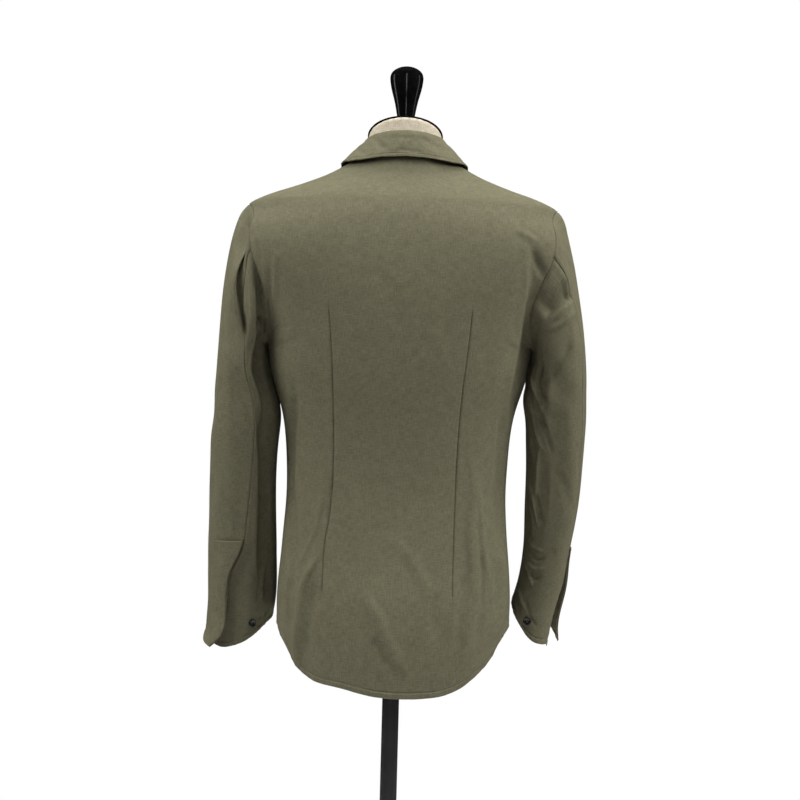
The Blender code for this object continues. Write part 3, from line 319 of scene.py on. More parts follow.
# Creases on the sides that the photograph doesn't show, drawn as they would be seen from the front at the
# same size.
FRONT_CREASES = {
    "front_left": (
        (12, 1.6, 0.0, "506,262 492,292 470,322"),
        (10, -1.6, 0.0, "516,290 505,330 503,372"),
        (12, 1.6, 0.2, "470,470 478,520 474,570 480,622"),
        (7, 1.2, 0.0, "494,520 500,560 497,600"),
        (6, -1.2, 0.0, "486,540 489,580 486,615"),
        (12, -0.9, 0.0, "430,560 438,600 434,645"),
        (10, 0.8, 0.0, "418,430 428,452 420,480"),
        (14, 0.6, 0.0, "452,240 440,270 436,300"),
        (5, -0.6, 0.0, "404,330 414,344 424,350"),
    ),
    "front_right": (
        (12, 1.6, 0.0, "294,262 307,292 328,320"),
        (10, -1.6, 0.0, "284,290 294,330 297,372"),
        (12, 1.5, -0.2, "330,478 322,520 327,568 318,618"),
        (7, 1.1, 0.0, "304,520 298,560 301,604"),
        (6, -1.1, 0.0, "313,545 310,580 314,612"),
        (13, -0.8, 0.0, "368,540 362,590 368,640"),
        (14, 0.5, 0.0, "345,250 358,280 362,310"),
        (6, -0.6, 0.0, "384,420 372,438 362,446"),
    ),
    "top_sleeve_left": (
        (8, -2.2, 0.2, "545,322 556,312 570,306"),
        (8, -1.6, 0.0, "560,350 552,368 541,384"),
        (5, 1.2, 0.0, "548,400 556,420 566,432"),
        (7, 0.9, 0.0, "572,250 577,290 575,330"),
        (7, 0.9, 0.0, "560,470 566,500 562,540"),
        (6, -0.8, 0.0, "550,560 554,590 548,620"),
    ),
    "top_sleeve_right": (
        (8, -2.2, -0.2, "252,318 243,309 230,304"),
        (8, -1.6, 0.0, "240,352 248,370 259,384"),
        (5, 1.2, 0.0, "250,402 243,420 235,430"),
        (7, 0.9, 0.0, "228,258 224,296 226,336"),
        (7, 0.9, 0.0, "240,474 235,502 240,540"),
        (6, -0.8, 0.0, "256,566 252,592 258,620"),
    ),
    "under_sleeve_left": (
        (6, -1.4, 0.0, "532,330 536,360 532,395"),
        (5, 1.0, 0.0, "530,470 534,500 531,540"),
    ),
    "under_sleeve_right": (
        (6, -1.4, 0.0, "268,330 264,360 268,395"),
        (5, 1.0, 0.0, "270,470 266,500 270,540"),
    ),
}


# -------------------- sizes of the form and the studio

# A button's outline from its underside round to its dish, as shares of its radius and of its thickness, and
# its holes: how far off its middle, their radius and their thread's, as shares of its radius.
BUTTON = (
    (0.80, 0.0),
    (0.95, 0.10),
    (1.0, 0.40),
    (0.985, 0.68),
    (0.93, 0.90),
    (0.85, 1.0),
    (0.76, 0.99),
    (0.68, 0.86),
    (0.60, 0.74),
    (0.40, 0.70),
)
HOLES = 4
HOLE_OFF, HOLE_RADIUS, HOLE_THREAD = 0.24, 0.11, 0.075
THREAD_HEIGHT = 0.62      # share of a button's thickness at which its thread starts
BUTTON_ANGLE = math.radians(40)

# The torso's neck: above which height its edges stay crisp, and its radius.
NECK_TOP_FROM = 1.446
NECK_RADIUS = 0.05
FLAT_ANGLE = math.radians(0.5)
QUAD_ANGLES = (math.radians(40), math.radians(60))
NECK_ANGLE = math.radians(50)

# The neck cap: its slope, thickness, foot and the gap under it, and its outline as shares of its radius and
# of its thickness.
CAP_LEAN = 0.40
CAP_THICK = 0.0045
NECK_TOP = 1.4665
SEAT_GAP = 0.0003
CAP = ((0.965, 0.0), (0.988, 0.08), (1.0, 0.26), (1.0, 0.70), (0.988, 0.92), (0.955, 1.0))

# The finial's outline from its foot up, as (radius, distance under its top).
FINIAL = (
    (0.0105, 0.0860),
    (0.0107, 0.0800),
    (0.0110, 0.0740),
    (0.0122, 0.0640),
    (0.0140, 0.0540),
    (0.0160, 0.0450),
    (0.0182, 0.0370),
    (0.0205, 0.0280),
    (0.0218, 0.0200),
    (0.0221, 0.0145),
    (0.0206, 0.0092),
    (0.0160, 0.0046),
    (0.0085, 0.0012),
    (0.0010, 0.0000),
)
FINIAL_TOP = 1.563
FINIAL_WIDEST = 0.0221
FOOT_BAND = 0.5 * MM      # points this near to its foot are moved to the cap's slope

# The base's plate from the floor up, as (share of its radius, height), then its hub as (radius, height) and
# the hub's rim as (radius, distance under its top).
PLATE = ((0.992, 0.0), (1.0, 0.0012), (1.0, 0.0050), (0.995, 0.0066), (0.983, 0.0076), (0.93, 0.0082))
HUB = ((0.040, 0.0092), (0.0345, 0.0098), (0.0285, 0.0120), (0.0262, 0.0160), (0.0245, 0.0240))
HUB_RIM = ((0.0232, 0.0022), (0.0222, 0.0006), (0.0205, 0.0))
POLE_RIM = 0.8 * MM
TURNED_ANGLE = math.radians(35)

# The studio's soft lights: name, place, what they point at, width, height and power. Only the narrow strips
# are mirrored in the lacquer.
LIGHTS = (
    ("left softbox", (2.2, 0.8, 2.7), (0, 0, 1.1), 1.4, 1.4, 84.0),
    ("right softbox", (-2.2, 0.8, 2.7), (0, 0, 1.1), 1.4, 1.4, 98.0),
    ("top softbox", (0.0, 0.4, 3.4), (0, 0, 1.1), 1.6, 1.6, 68.0),
    ("right front softbox", (-1.8, 2.0, 2.4), (0, 0, 1.1), 1.2, 1.2, 8.0),
    ("far left softbox", (1.3, -2.7, 2.0), (0, 0, 1.1), 1.4, 1.6, 24.0),
    ("far right softbox", (-1.3, -2.7, 2.0), (0, 0, 1.1), 1.4, 1.6, 20.0),
    ("front strip", (0.05, 3.0, 1.8), (0, 0, 1.3), 0.12, 2.6, 8.0),
    ("left strip", (2.6, -0.4, 1.6), (0, 0, 1.5), 0.25, 2.0, 6.0),
    ("right strip", (-2.6, -0.4, 1.6), (0, 0, 1.5), 0.25, 2.0, 3.0),
)

sheets = {}
vent_sides = {}
finishes = {}


# -------------------- small tools


def linear(hex_colour):
    """An sRGB hex colour as a linear RGBA colour."""
    shares = [int(hex_colour[i : i + 2], 16) / 255 for i in (1, 3, 5)]
    return tuple(s / 12.92 if s <= 0.04045 else ((s + 0.055) / 1.055) ** 2.4 for s in shares) + (1.0,)


def ease(t):
    """0 to 1 along a smooth step."""
    t = np.clip(t, 0.0, 1.0)
    return t * t * (3 - 2 * t)


def bell(distance):
    """1 at no distance, falling smoothly to 0 at a distance of 1."""
    return (1 - np.minimum(np.abs(distance), 1.0) ** 2) ** 2


def deselect():
    """Leaves edit mode and selects nothing."""
    if bpy.context.object and bpy.context.object.mode != "OBJECT":
        bpy.ops.object.mode_set(mode="OBJECT")
    for thing in bpy.context.scene.objects:
        thing.select_set(False)


def make_active(piece):
    deselect()
    piece.select_set(True)
    bpy.context.view_layer.objects.active = piece


def apply_modifiers(piece):
    make_active(piece)
    for modifier in list(piece.modifiers):
        bpy.ops.object.modifier_apply(modifier=modifier.name)


def settle(piece):
    """Puts the object at the origin, unturned and unscaled, with its place in its mesh."""
    make_active(piece)
    bpy.ops.object.transform_apply(location=True, rotation=True, scale=True)


def link(name, mesh):
    """A new object with this mesh or light in the scene."""
    thing = bpy.data.objects.new(name, mesh)
    bpy.context.scene.collection.objects.link(thing)
    return thing


def dress(piece, finish, body="root"):
    """Gives a finished piece its material and slot, and lets it ride on its body."""
    piece.data.materials.clear()
    piece.data.materials.append(finish)
    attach(piece, body)


def run_along(points):
    """How far along a flat line of points each of them lies."""
    return np.concatenate([[0], np.cumsum(np.hypot(*np.diff(points, axis=0).T))])


# -------------------- reading the CAD panels


def outer_triangles(node):
    """The points and triangles of a panel's outer face, from a merged copy of its solid."""
    solid = bmesh.new()
    solid.from_mesh(frame["nodes"][node].data)
    bmesh.ops.remove_doubles(solid, verts=solid.verts, dist=MERGE)
    rim = [face for face in solid.faces if min(e.calc_length() for e in face.edges) < WALL_EDGE]
    bmesh.ops.delete(solid, geom=rim, context="FACES")
    islands = []
    left = set(solid.faces)
    while left:
        reached = [left.pop()]
        island = list(reached)
        while reached:
            face = reached.pop()
            for edge in face.edges:
                for other in edge.link_faces:
                    if other in left:
                        left.remove(other)
                        reached.append(other)
                        island.append(other)
        islands.append(island)
    outer = max(islands, key=lambda faces: sum(face.calc_area() for face in faces))
    points = {}
    triangles = []
    for face in outer:
        triangles.append(tuple(points.setdefault(v.co[:], len(points)) for v in face.verts))
    solid.free()
    return np.array(list(points)), triangles


def walk_grid(triangles, loop, rows, columns):
    """The vertex numbers of a rows by columns grid whose border is this loop, or None if it isn't one."""
    beside = {}
    for triangle in triangles:
        for i in range(3):
            edge = frozenset((triangle[i], triangle[(i + 1) % 3]))
            beside.setdefault(edge, []).append(triangle)

    def third(a, b, used):
        for triangle in beside.get(frozenset((a, b)), ()):
            if triangle not in used:
                used.add(triangle)
                return next(v for v in triangle if v not in (a, b))
        return None

    grid = [loop[:columns]]
    left_side = [loop[0]] + loop[:-rows:-1]
    used = set()
    for row in range(1, rows):
        above, here = grid[-1], [left_side[row]]
        for column in range(1, columns):
            a, b, c = above[column - 1], above[column], here[-1]
            found = third(a, b, used)
            if found == c:
                found = third(b, c, used)
            elif found is None or third(a, found, used) != c:
                return None
            if found is None:
                return None
            here.append(found)
        grid.append(here)
    right_side = loop[columns - 1 : columns + rows - 1]
    return grid if [row[-1] for row in grid] == right_side else None


def grid_of(node, rows, columns, first_row_is):
    """A panel's outer face as an array of rows by columns of points; columns run so that the face's outward
    side is the cross product of the way along the columns and the way down the rows."""
    points, triangles = outer_triangles(node)
    count = {}
    for triangle in triangles:
        for i in range(3):
            edge = (triangle[i], triangle[(i + 1) % 3])
            count[edge] = count.get(edge, 0) + 1
    follows = {a: b for a, b in count if (b, a) not in count}
    loop = [next(iter(follows))]
    while follows[loop[-1]] != loop[0]:
        loop.append(follows[loop[-1]])
    for shape in ((rows, columns), (columns, rows)):
        for start in range(len(loop)):
            turned = loop[start:] + loop[:start]
            grid = walk_grid(triangles, turned, *shape)
            if grid:
                break
        if grid:
            break
    if not grid:
        raise RuntimeError(f"{node} is no grid of {rows} by {columns}")
    sheet = points[np.array(grid)]
    if shape != (rows, columns):
        sheet = sheet.transpose(1, 0, 2)
    if first_row_is(sheet[0]) < first_row_is(sheet[-1]):
        sheet = sheet[::-1]
    a, b, c = (points[i] for i in triangles[len(triangles) // 2])
    facing = np.cross(b - a, c - a)
    near = np.linalg.norm(sheet - a, axis=2)
    row, column = np.unravel_index(np.argmin(near), near.shape)
    row, column = min(row, rows - 2), min(column, columns - 2)
    along = sheet[row, column + 1] - sheet[row, column]
    down = sheet[row + 1, column] - sheet[row, column]
    if np.dot(np.cross(along, down), facing) < 0:
        sheet = sheet[:, ::-1]
    return np.ascontiguousarray(sheet)


# -------------------- smooth sheets


def spline(points, knots, at):
    """A smooth curve (a natural cubic spline) through rows of points, read at these places."""
    points = np.asarray(points, float)
    steps = np.diff(knots)
    slopes = np.diff(points, axis=0) / steps.reshape(-1, *[1] * (points.ndim - 1))
    count = len(knots)
    system = np.zeros((count, count))
    right = np.zeros_like(points)
    system[0, :2] = 2, 1
    system[-1, -2:] = 1, 2
    right[0] = 3 * slopes[0]
    right[-1] = 3 * slopes[-1]
    for i in range(1, count - 1):
        system[i, i - 1 : i + 2] = steps[i], 2 * (steps[i - 1] + steps[i]), steps[i - 1]
        right[i] = 3 * (steps[i] * slopes[i - 1] + steps[i - 1] * slopes[i])
    tangents = np.linalg.solve(system, right.reshape(count, -1)).reshape(points.shape)
    index = np.clip(np.searchsorted(knots, at, side="right") - 1, 0, count - 2)
    span = steps[index]
    t = ((at - knots[index]) / span).reshape(-1, *[1] * (points.ndim - 1))
    span = span.reshape(t.shape)
    return (
        points[index] * (2 * t**3 - 3 * t**2 + 1)
        + tangents[index] * span * (t**3 - 2 * t**2 + t)
        + points[index + 1] * (3 * t**2 - 2 * t**3)
        + tangents[index + 1] * span * (t**3 - t**2)
    )


def soft_noise(across, down, cell_across, cell_down, seed):
    """Smooth noise from -1 to 1 whose cells have this size, the same on every run."""
    random = np.random.default_rng(seed)
    x, y = across / cell_across + NOISE_MARGIN, down / cell_down + NOISE_MARGIN
    values = random.uniform(-1, 1, (int(y.max()) + 3, int(x.max()) + 3))
    column, row = np.floor(x).astype(int), np.floor(y).astype(int)
    s, t = ease(x - column), ease(y - row)
    top = values[row, column] * (1 - s) + values[row, column + 1] * s
    low = values[row + 1, column] * (1 - s) + values[row + 1, column + 1] * s
    return top * (1 - t) + low * t


class Sheet:
    """A panel's cloth as a dense grid of points, with the distances along its columns and rows."""

    def __init__(self, grid, step, ends, dart_columns=()):
        lengths = np.linalg.norm(np.diff(grid, axis=0), axis=2).mean(axis=1)
        widths = np.linalg.norm(np.diff(grid, axis=1), axis=2).mean(axis=0)
        self.row_knots = np.concatenate([[0], np.cumsum(lengths)])
        self.column_knots = np.concatenate([[0], np.cumsum(widths)])
        lines = [self.column_knots[c] + offset for c in dart_columns for offset in DART_LINES]
        self.down = self.places(self.row_knots[-1], step, ends["top"], ends["bottom"])
        self.across = self.places(self.column_knots[-1], step, ends["start"], ends["end"], lines)
        rows = spline(grid, self.row_knots, self.down)
        self.points = spline(rows.transpose(1, 0, 2), self.column_knots, self.across).transpose(1, 0, 2)
        self.u, self.v = np.meshgrid(self.across, self.down)
        self.width, self.length = self.column_knots[-1], self.row_knots[-1]
        self.moved = np.zeros(self.u.shape)

    @staticmethod
    def places(total, step, first, last, lines=()):
        """Where the grid's lines lie: evenly in the middle, close together at seams, hems and darts."""
        close = {"seam": SEAM_LINES, "hem": HEM_LINES}
        places = sorted([*close[first], *(total - d for d in close[last]), *lines])
        filled = []
        for start, end in zip(places, places[1:]):
            count = max(1, round((end - start) / step))
            filled += [start + (end - start) * i / count for i in range(count)]
        return np.array(filled + [places[-1]])

    def normals(self):
        along = np.gradient(self.points, axis=1)
        down = np.gradient(self.points, axis=0)
        normal = np.cross(along, down)
        return normal / np.linalg.norm(normal, axis=2, keepdims=True)

    def side_distance(self, side):
        """How far each point lies from one of the sheet's sides, along the cloth."""
        across, down = self.width - self.u, self.length - self.v
        return {"top": self.v, "bottom": down, "start": self.u, "end": across}[side]

    def border(self, side):
        """The points of one side, as an index into the grid."""
        return {"top": np.s_[0, :], "bottom": np.s_[-1, :], "start": np.s_[:, 0], "end": np.s_[:, -1]}[side]

    def push(self, amount):
        """Moves the cloth out along its own normal by these amounts, once folds are in."""
        self.moved = self.moved + amount

    def apply_push(self):
        self.points = self.points + self.normals() * self.moved[..., None]
        self.moved = np.zeros(self.u.shape)


def seen_at(points):
    """Where points in the row frame lie in the photograph's 800 by 800 frame."""
    scale = PIXEL * (EYE_DISTANCE - points[..., 1]) / EYE_DISTANCE
    right = -points[..., 0] / scale - AXIS_BESIDE
    up = (points[..., 2] - EYE_HEIGHT) / scale
    across = PICTURE / 2 + right * math.cos(ROLL) + up * math.sin(ROLL)
    down = PICTURE / 2 + right * math.sin(ROLL) - up * math.cos(ROLL)
    return np.stack([across, down], axis=-1)


def seen_from_front(points):
    """The same from the front: a plain view at the same size, its middle at the form's axis."""
    across = PICTURE / 2 + points[..., 0] / PIXEL
    down = PICTURE / 2 - (points[..., 2] - EYE_HEIGHT) / PIXEL
    return np.stack([across, down], axis=-1)


def height_of(points):
    return points[:, 2].mean()


def nearness(points):
    """Larger for the side nearer to the neck's middle: the collar's seam side."""
    return -np.hypot(points[:, 0], points[:, 1]).mean()


def lay_out():
    """Reads every panel's grid and makes its smooth sheet, the darts' own columns drawn level first."""
    for name, (rows, columns, step, _) in PANELS.items():
        grid = grid_of(name, rows, columns, nearness if name == "collar" else height_of)
        darts = DART_COLUMNS if name == "back" else ()
        for column in darts:
            grid[:, column] = (grid[:, column - 1] + grid[:, column + 1]) / 2
        sheets[name] = Sheet(grid, step * MM, ENDS[name], darts)


def nearest_on(line, points):
    """For each point, the nearest place on a line of points, and how far off it is."""
    start, end = line[:-1], line[1:]
    way = end - start
    size = np.maximum((way**2).sum(axis=1), 1e-12)
    t = np.clip(((points[:, None] - start) * way).sum(axis=2) / size, 0, 1)
    place = start + way * t[..., None]
    off = np.linalg.norm(place - points[:, None], axis=2)
    best = off.argmin(axis=1)
    rows = np.arange(len(points))
    return place[rows, best], off[rows, best]


def sewn_sides():
    """The sides that are sewn to a neighbour, as (panel, side, which of its points)."""
    found = []
    for name, sheet in sheets.items():
        for side, kind in ENDS[name].items():
            if kind != "seam":
                continue
            sewn = np.ones(sheet.points[sheet.border(side)].shape[0], bool)
            if "_sleeve_" in name and side == vent_sides[name]:
                sewn = sheet.down <= sheet.row_knots[VENT_ROW] + TINY
            found.append((name, side, sewn))
    return found


def find_vent_sides():
    """Which side of each sleeve panel ends at the vent: the one nearer to the placket or its neighbour."""
    for name in ("top_sleeve_left", "top_sleeve_right", "under_sleeve_left", "under_sleeve_right"):
        placket = sheets["sleeve_placket_" + name.rsplit("_", 1)[1]].points.reshape(-1, 3)
        sheet = sheets[name]
        off = {}
        for side in ("start", "end"):
            edge = sheet.points[sheet.border(side)]
            off[side] = np.linalg.norm(edge - placket.mean(axis=0), axis=1).min()
        vent_sides[name] = min(off, key=off.get)


def sew_together(settle_over):
    """Draws the edges of neighbouring panels together at their seams, and the cloth beside them after."""
    sides = sewn_sides()
    lines = {(n, s): sheets[n].points[sheets[n].border(s)][w] for n, s, w in sides}
    moves = []
    for name, side, sewn in sides:
        sheet = sheets[name]
        edge = sheet.points[sheet.border(side)]
        best = np.full(len(edge), FAR)
        target = edge.copy()
        for (other, other_side), line in lines.items():
            if other == name or {name, other} == NEVER_SEWN:
                continue
            place, off = nearest_on(line, edge)
            nearer = off < best
            best = np.where(nearer, off, best)
            target[nearer] = place[nearer]
        reach = (best < SEAM_REACH) & sewn
        share = np.where(reach, 0.5 - SEAM_LEFT / np.maximum(best, 2 * SEAM_LEFT) / 2, 0)
        moves.append((sheet, side, (target - edge) * share[:, None]))
    for sheet, side, move in moves:
        weight = bell(sheet.side_distance(side) / settle_over)[..., None]
        along = move[None, :, :] if side in ("top", "bottom") else move[:, None, :]
        sheet.points = sheet.points + along * weight


def lean_on_body(side, lowest):
    """Draws a sleeve's inner side to the body's, from the armpit down to where the arm's gap opens."""
    outwards = 1 if side == "left" else -1
    body = np.concatenate([sheets[name].points.reshape(-1, 3) for name in ("back", "front_" + side)])
    body = body[(body[:, 0] * outwards > BODY_SIDE) & (np.abs(body[:, 1] - TOUCH_AT) < 2 * TOUCH_HALF_WIDTH)]
    near = KDTree(len(body))
    for i, (_, y, z) in enumerate(body):
        near.insert((0, y, z), i)
    near.balance()
    sleeve = sheets["under_sleeve_" + side].points
    x, y, z = (sleeve[..., i] for i in range(3))
    share = bell((y - TOUCH_AT) / TOUCH_HALF_WIDTH) * ease((z - lowest) / TOUCH_FADE)
    share = share * (x * outwards < ARM_MIDDLE)
    for row, column in np.argwhere(share > TOUCH_LEAST):
        _, i, off = near.find((0, y[row, column], z[row, column]))
        gap = (x[row, column] - body[i, 0]) * outwards
        if off < TOUCH_REACH and 0 < gap < TOUCH_REACH:
            sleeve[row, column, 0] -= outwards * gap * share[row, column]


# -------------------- folds and seams


def along_line(places, line):
    """For each place in the picture, the nearest point of a drawn line: how far off it is, on which side it
    lies (over 0 is the picture's left of a line drawn downwards), and how far along it, from 0 to 1."""
    start, end = line[:-1], line[1:]
    way = end - start
    lengths = np.hypot(way[:, 0], way[:, 1])
    before = np.concatenate([[0], np.cumsum(lengths)])
    flat = places.reshape(-1, 2)
    off = np.full(len(flat), FAR)
    side = np.zeros(len(flat))
    down = np.zeros(len(flat))
    for i in range(len(way)):
        t = np.clip(((flat - start[i]) @ way[i]) / lengths[i] ** 2, 0, 1)
        gap = flat - (start[i] + t[:, None] * way[i])
        far = np.hypot(gap[:, 0], gap[:, 1])
        nearer = far < off
        off = np.where(nearer, far, off)
        turn = way[i, 0] * gap[:, 1] - way[i, 1] * gap[:, 0]
        side = np.where(nearer, np.sign(turn), side)
        down = np.where(nearer, (before[i] + t * lengths[i]) / before[-1], down)
    shape = places.shape[:-1]
    return off.reshape(shape), side.reshape(shape), down.reshape(shape)


def smooth_line(line):
    """A smooth curve through the points of a table's line, in short steps."""
    points = np.array([pair.split(",") for pair in line.split()], float)
    if len(points) == 2:
        return points
    knots = run_along(points)
    return spline(points, knots, np.linspace(0, knots[-1], 2 + int(knots[-1] / LINE_STEP)))


def crease(places, line, width, depth, lean):
    """A soft ridge (or, with a depth below 0, trough) along a drawn line; lean steepens one of its sides."""
    off, side, down = along_line(places, smooth_line(line))
    reach = width * MM * (1 + lean * side)
    ends = ease(down / CREASE_FADE) * ease((1 - down) / CREASE_FADE)
    return depth * MM * bell(off * PIXEL / reach) * (CREASE_TIP + (1 - CREASE_TIP) * ends)


def fall(places, line, width, depth, fade):
    """Cloth that folds along a line and falls away on its right when the line is drawn downwards: a crisp
    edge, the deepest place a third of the width from it, and a smooth way back."""
    off, side, down = along_line(places, smooth_line(line))
    share = np.clip(off * PIXEL / (width * MM), 0, 1)
    ends = ease(down / fade) * ease((1 - down) / fade)
    return -depth * MM * FALL_PEAK * share * (1 - share) ** 2 * (side < 0) * ends


def fold_cloth(name):
    """Adds the panel's listed creases and the cloth's own slight unevenness."""
    sheet = sheets[name]
    facing = sheet.normals()[..., 1]
    from_behind, from_front = seen_at(sheet.points), seen_from_front(sheet.points)
    for table, places, facing_eye in ((CREASES, from_behind, facing), (FRONT_CREASES, from_front, -facing)):
        shown = ease(facing_eye / CREASE_FACING + CREASE_SLACK)
        for width, depth, lean, line in table.get(name, ()):
            sheet.push(shown * crease(places, line, width, depth, lean))
    for width, depth, fade, line in FALLS.get(name, ()):
        sheet.push(fall(from_behind, line, width, depth, fade) * ease(facing / FALL_FACING))
    seed = sum(map(ord, name))
    uneven = [
        share * soft_noise(sheet.u, sheet.v, across, down, seed + i)
        for i, (share, across, down) in enumerate(UNEVEN_CELLS)
    ]
    sheet.push(UNEVEN * sum(uneven))


def seam_roll(sheet, side, radius, sewn=1.0, lip=0.0):
    """The cloth rolls in at a seam, which leaves a fine dark line, and may stand up in a lip beside it."""
    distance = sheet.side_distance(side)
    near = np.clip(distance, 0, radius)
    dip = radius - np.sqrt(np.maximum(radius**2 - (radius - near) ** 2, 0))
    ridge = lip * bell((distance - LIP_OFF) / LIP_HALF_WIDTH)
    sheet.push((ridge - dip) * sewn)


def hem_band(sheet, side, seed, width, rise=HEM_RISE, where=1.0):
    """A turned hem: a band that stands out a little, its stitch line sunk in, both gently puckered."""
    distance = sheet.side_distance(side)
    along = sheet.u if side in ("top", "bottom") else sheet.v
    band = ease((width + HEM_STEP_OFF - distance) / HEM_STEP)
    edge = bell((HEM_EDGE - distance) / HEM_EDGE) * (distance < HEM_EDGE)
    stitch = bell((distance - width) / STITCH_HALF_WIDTH)
    waves = sum(
        share * soft_noise(along, distance, cell, PUCKER_ACROSS, seed + i)
        for i, (share, cell) in enumerate(PUCKER_CELLS)
    )
    near = bell(distance / (PUCKER_REACH * width))
    sheet.push(where * (rise * band - STITCH_DIP * stitch + PUCKER * waves * near - HEM_EDGE_DIP * edge))


def stitch_darts(back):
    """Each dart is a fine groove, with a lip on its side away from the back's middle."""
    z = back.points[..., 2]
    inside = ease((z - DART_LOW) / DART_FADE) * ease((DART_HIGH - z) / DART_FADE)
    middle = back.column_knots[sum(DART_COLUMNS) // 2]
    for column in DART_COLUMNS:
        place = back.column_knots[column]
        outwards = (back.u - place) * np.sign(place - middle)
        groove = -DART_GROOVE * bell(outwards / DART_HALF_WIDTH)
        lip = DART_LIP * bell((outwards - DART_LIP_OFF) / DART_LIP_HALF_WIDTH)
        back.push(inside * (groove + lip))


def shape_cloth(sizes):
    """Puts the seams' rolls, the darts, the hems and the creases into every sheet."""
    stitch_darts(sheets["back"])
    for number, (name, ends) in enumerate(ENDS.items()):
        sheet = sheets[name]
        below_vent = ease((sheet.v - sheet.row_knots[min(VENT_ROW, len(sheet.row_knots) - 1)]) / VENT_FADE)
        for side, kind in ends.items():
            seed = SEEDS_APART * number + len(side)
            if name.startswith("sleeve_placket"):
                seam_roll(sheet, side, PLACKET_ROLL)
            elif kind == "hem":
                hem_band(sheet, side, seed, sizes.hem)
            elif side == vent_sides.get(name):
                seam_roll(sheet, side, SEAM_RADIUS, 1 - below_vent, LIPS.get((name, "hind"), 0) * MM)
                hem_band(sheet, side, seed, sizes.hem, VENT_RISE, below_vent)
            elif name != "collar":
                seam_roll(sheet, side, SEAM_RADIUS, 1.0, LIPS.get((name, side), 0) * MM)
        fold_cloth(name)
        sheet.apply_push()


def make_cloth(name, thickness):
    """Builds a sheet's mesh with its own weave map and gives it its wall."""
    sheet = sheets[name]
    rows, columns = sheet.u.shape
    numbers = np.arange(rows * columns).reshape(rows, columns)
    corners = (numbers[:-1, :-1], numbers[1:, :-1], numbers[1:, 1:], numbers[:-1, 1:])
    faces = np.stack(corners[::-1], axis=-1).reshape(-1, 4)
    mesh = bpy.data.meshes.new(name + "_cloth")
    mesh.from_pydata(sheet.points.reshape(-1, 3).tolist(), [], faces.tolist())
    weave = mesh.uv_layers.new(name="weave")
    places = np.stack([sheet.u, sheet.v], axis=-1).reshape(-1, 2)
    order = np.empty(len(mesh.loops), np.int32)
    mesh.loops.foreach_get("vertex_index", order)
    weave.data.foreach_set("uv", places[order].ravel())
    mesh.update()
    cloth = link(name + "_cloth", mesh)
    middle = mesh.polygons[len(mesh.polygons) // 2]
    row, column = divmod(middle.index, columns - 1)
    if Vector(sheet.normals()[row, column]).dot(middle.normal) < 0:
        mesh.flip_normals()
    wall = cloth.modifiers.new("Cloth wall", "SOLIDIFY")
    wall.thickness = thickness
    wall.offset = -1
    apply_modifiers(cloth)
    cloth.data.shade_smooth()
    cloth.data.set_sharp_from_angle(angle=SHARP_ANGLE)
    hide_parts(name)
    dress(cloth, finishes["cloth"])


def stitches_along(sheet, side, off, first=0.0, last=1.0):
    """The stitches of a seam at this distance from a sheet's side, between two shares of its length."""
    level = side in ("top", "bottom")
    distance = sheet.side_distance(side)
    line = np.abs((distance[:, 0] if level else distance[0]) - off).argmin()
    cut = np.s_[line, :] if level else np.s_[:, line]
    places, ways = sheet.points[cut], sheet.normals()[cut]
    knots = np.concatenate([[0], np.cumsum(np.linalg.norm(np.diff(places, axis=0), axis=1))])
    starts = np.arange(knots[-1] * first, knots[-1] * last - STITCH_PITCH, STITCH_PITCH)
    found = []
    for at in starts:
        start, end, out = (
            np.array([np.interp(place, knots, rows[:, i]) for i in range(3)])
            for place, rows in ((at, places), (at + STITCH_PITCH * STITCH_SHARE, places), (at, ways))
        )
        found.append((start, end, out / np.linalg.norm(out)))
    return found


def sew_threads(name, stitches, radius=THREAD_RADIUS):
    """Short threads, each from one place to another and arched out: bars of a few faces with pointed ends."""
    points = []
    faces = []
    for start, end, out in stitches:
        along = end - start
        across = np.cross(along / np.linalg.norm(along), out)
        first = len(points)
        points.append(start)
        for share, lift in THREAD_ARCH:
            middle = start + along * share + out * radius * lift
            for a, b in ((1, 0), (0, 1), (-1, 0), (0, -1)):
                points.append(middle + radius * (across * a + out * b))
        points.append(end)
        last = len(points) - 1
        for k in range(4):
            n = (k + 1) % 4
            low, mid, top = (first + 1 + 4 * ring for ring in range(3))
            faces.append((first, low + k, low + n))
            faces.append((low + k, mid + k, mid + n, low + n))
            faces.append((mid + k, top + k, top + n, mid + n))
            faces.append((last, top + n, top + k))
    mesh = bpy.data.meshes.new(name)
    mesh.from_pydata([tuple(p) for p in points], [], faces)
    body = bmesh.new()
    body.from_mesh(mesh)
    bmesh.ops.recalc_face_normals(body, faces=body.faces)
    body.to_mesh(mesh)
    body.free()
    mesh.shade_smooth()
    dress(link(name, mesh), finishes["thread"])


# -------------------- materials


def add_node(tree, kind, links=None, stops=(), **settings):
    """Adds a node with its settings and, on a ramp, its (place, colour) stops, and links its inputs from
    other nodes' outputs or sets their values."""
    node = tree.nodes.new(kind)
    for key, value in settings.items():
        setattr(node, key, value)
    for i, (place, colour) in enumerate(stops):
        elements = node.color_ramp.elements
        if i == 0:
            elements.remove(elements[-1])
        element = elements.new(place) if i else elements[0]
        element.position = place
        element.color = linear(colour)
    for socket, value in (links or {}).items():
        if isinstance(value, bpy.types.NodeSocket):
            tree.links.new(value, node.inputs[socket])
        else:
            node.inputs[socket].default_value = value
    return node


def new_material(name, surface=None):
    """A material, its nodes and its shader, with these values on the shader."""
    finish = bpy.data.materials.new(name)
    finish.use_nodes = True
    shader = finish.node_tree.nodes["Principled BSDF"]
    for socket, value in (surface or {}).items():
        shader.inputs[socket].default_value = value
    return finish, finish.node_tree, shader


MATH, NOISE = "ShaderNodeMath", "ShaderNodeTexNoise"

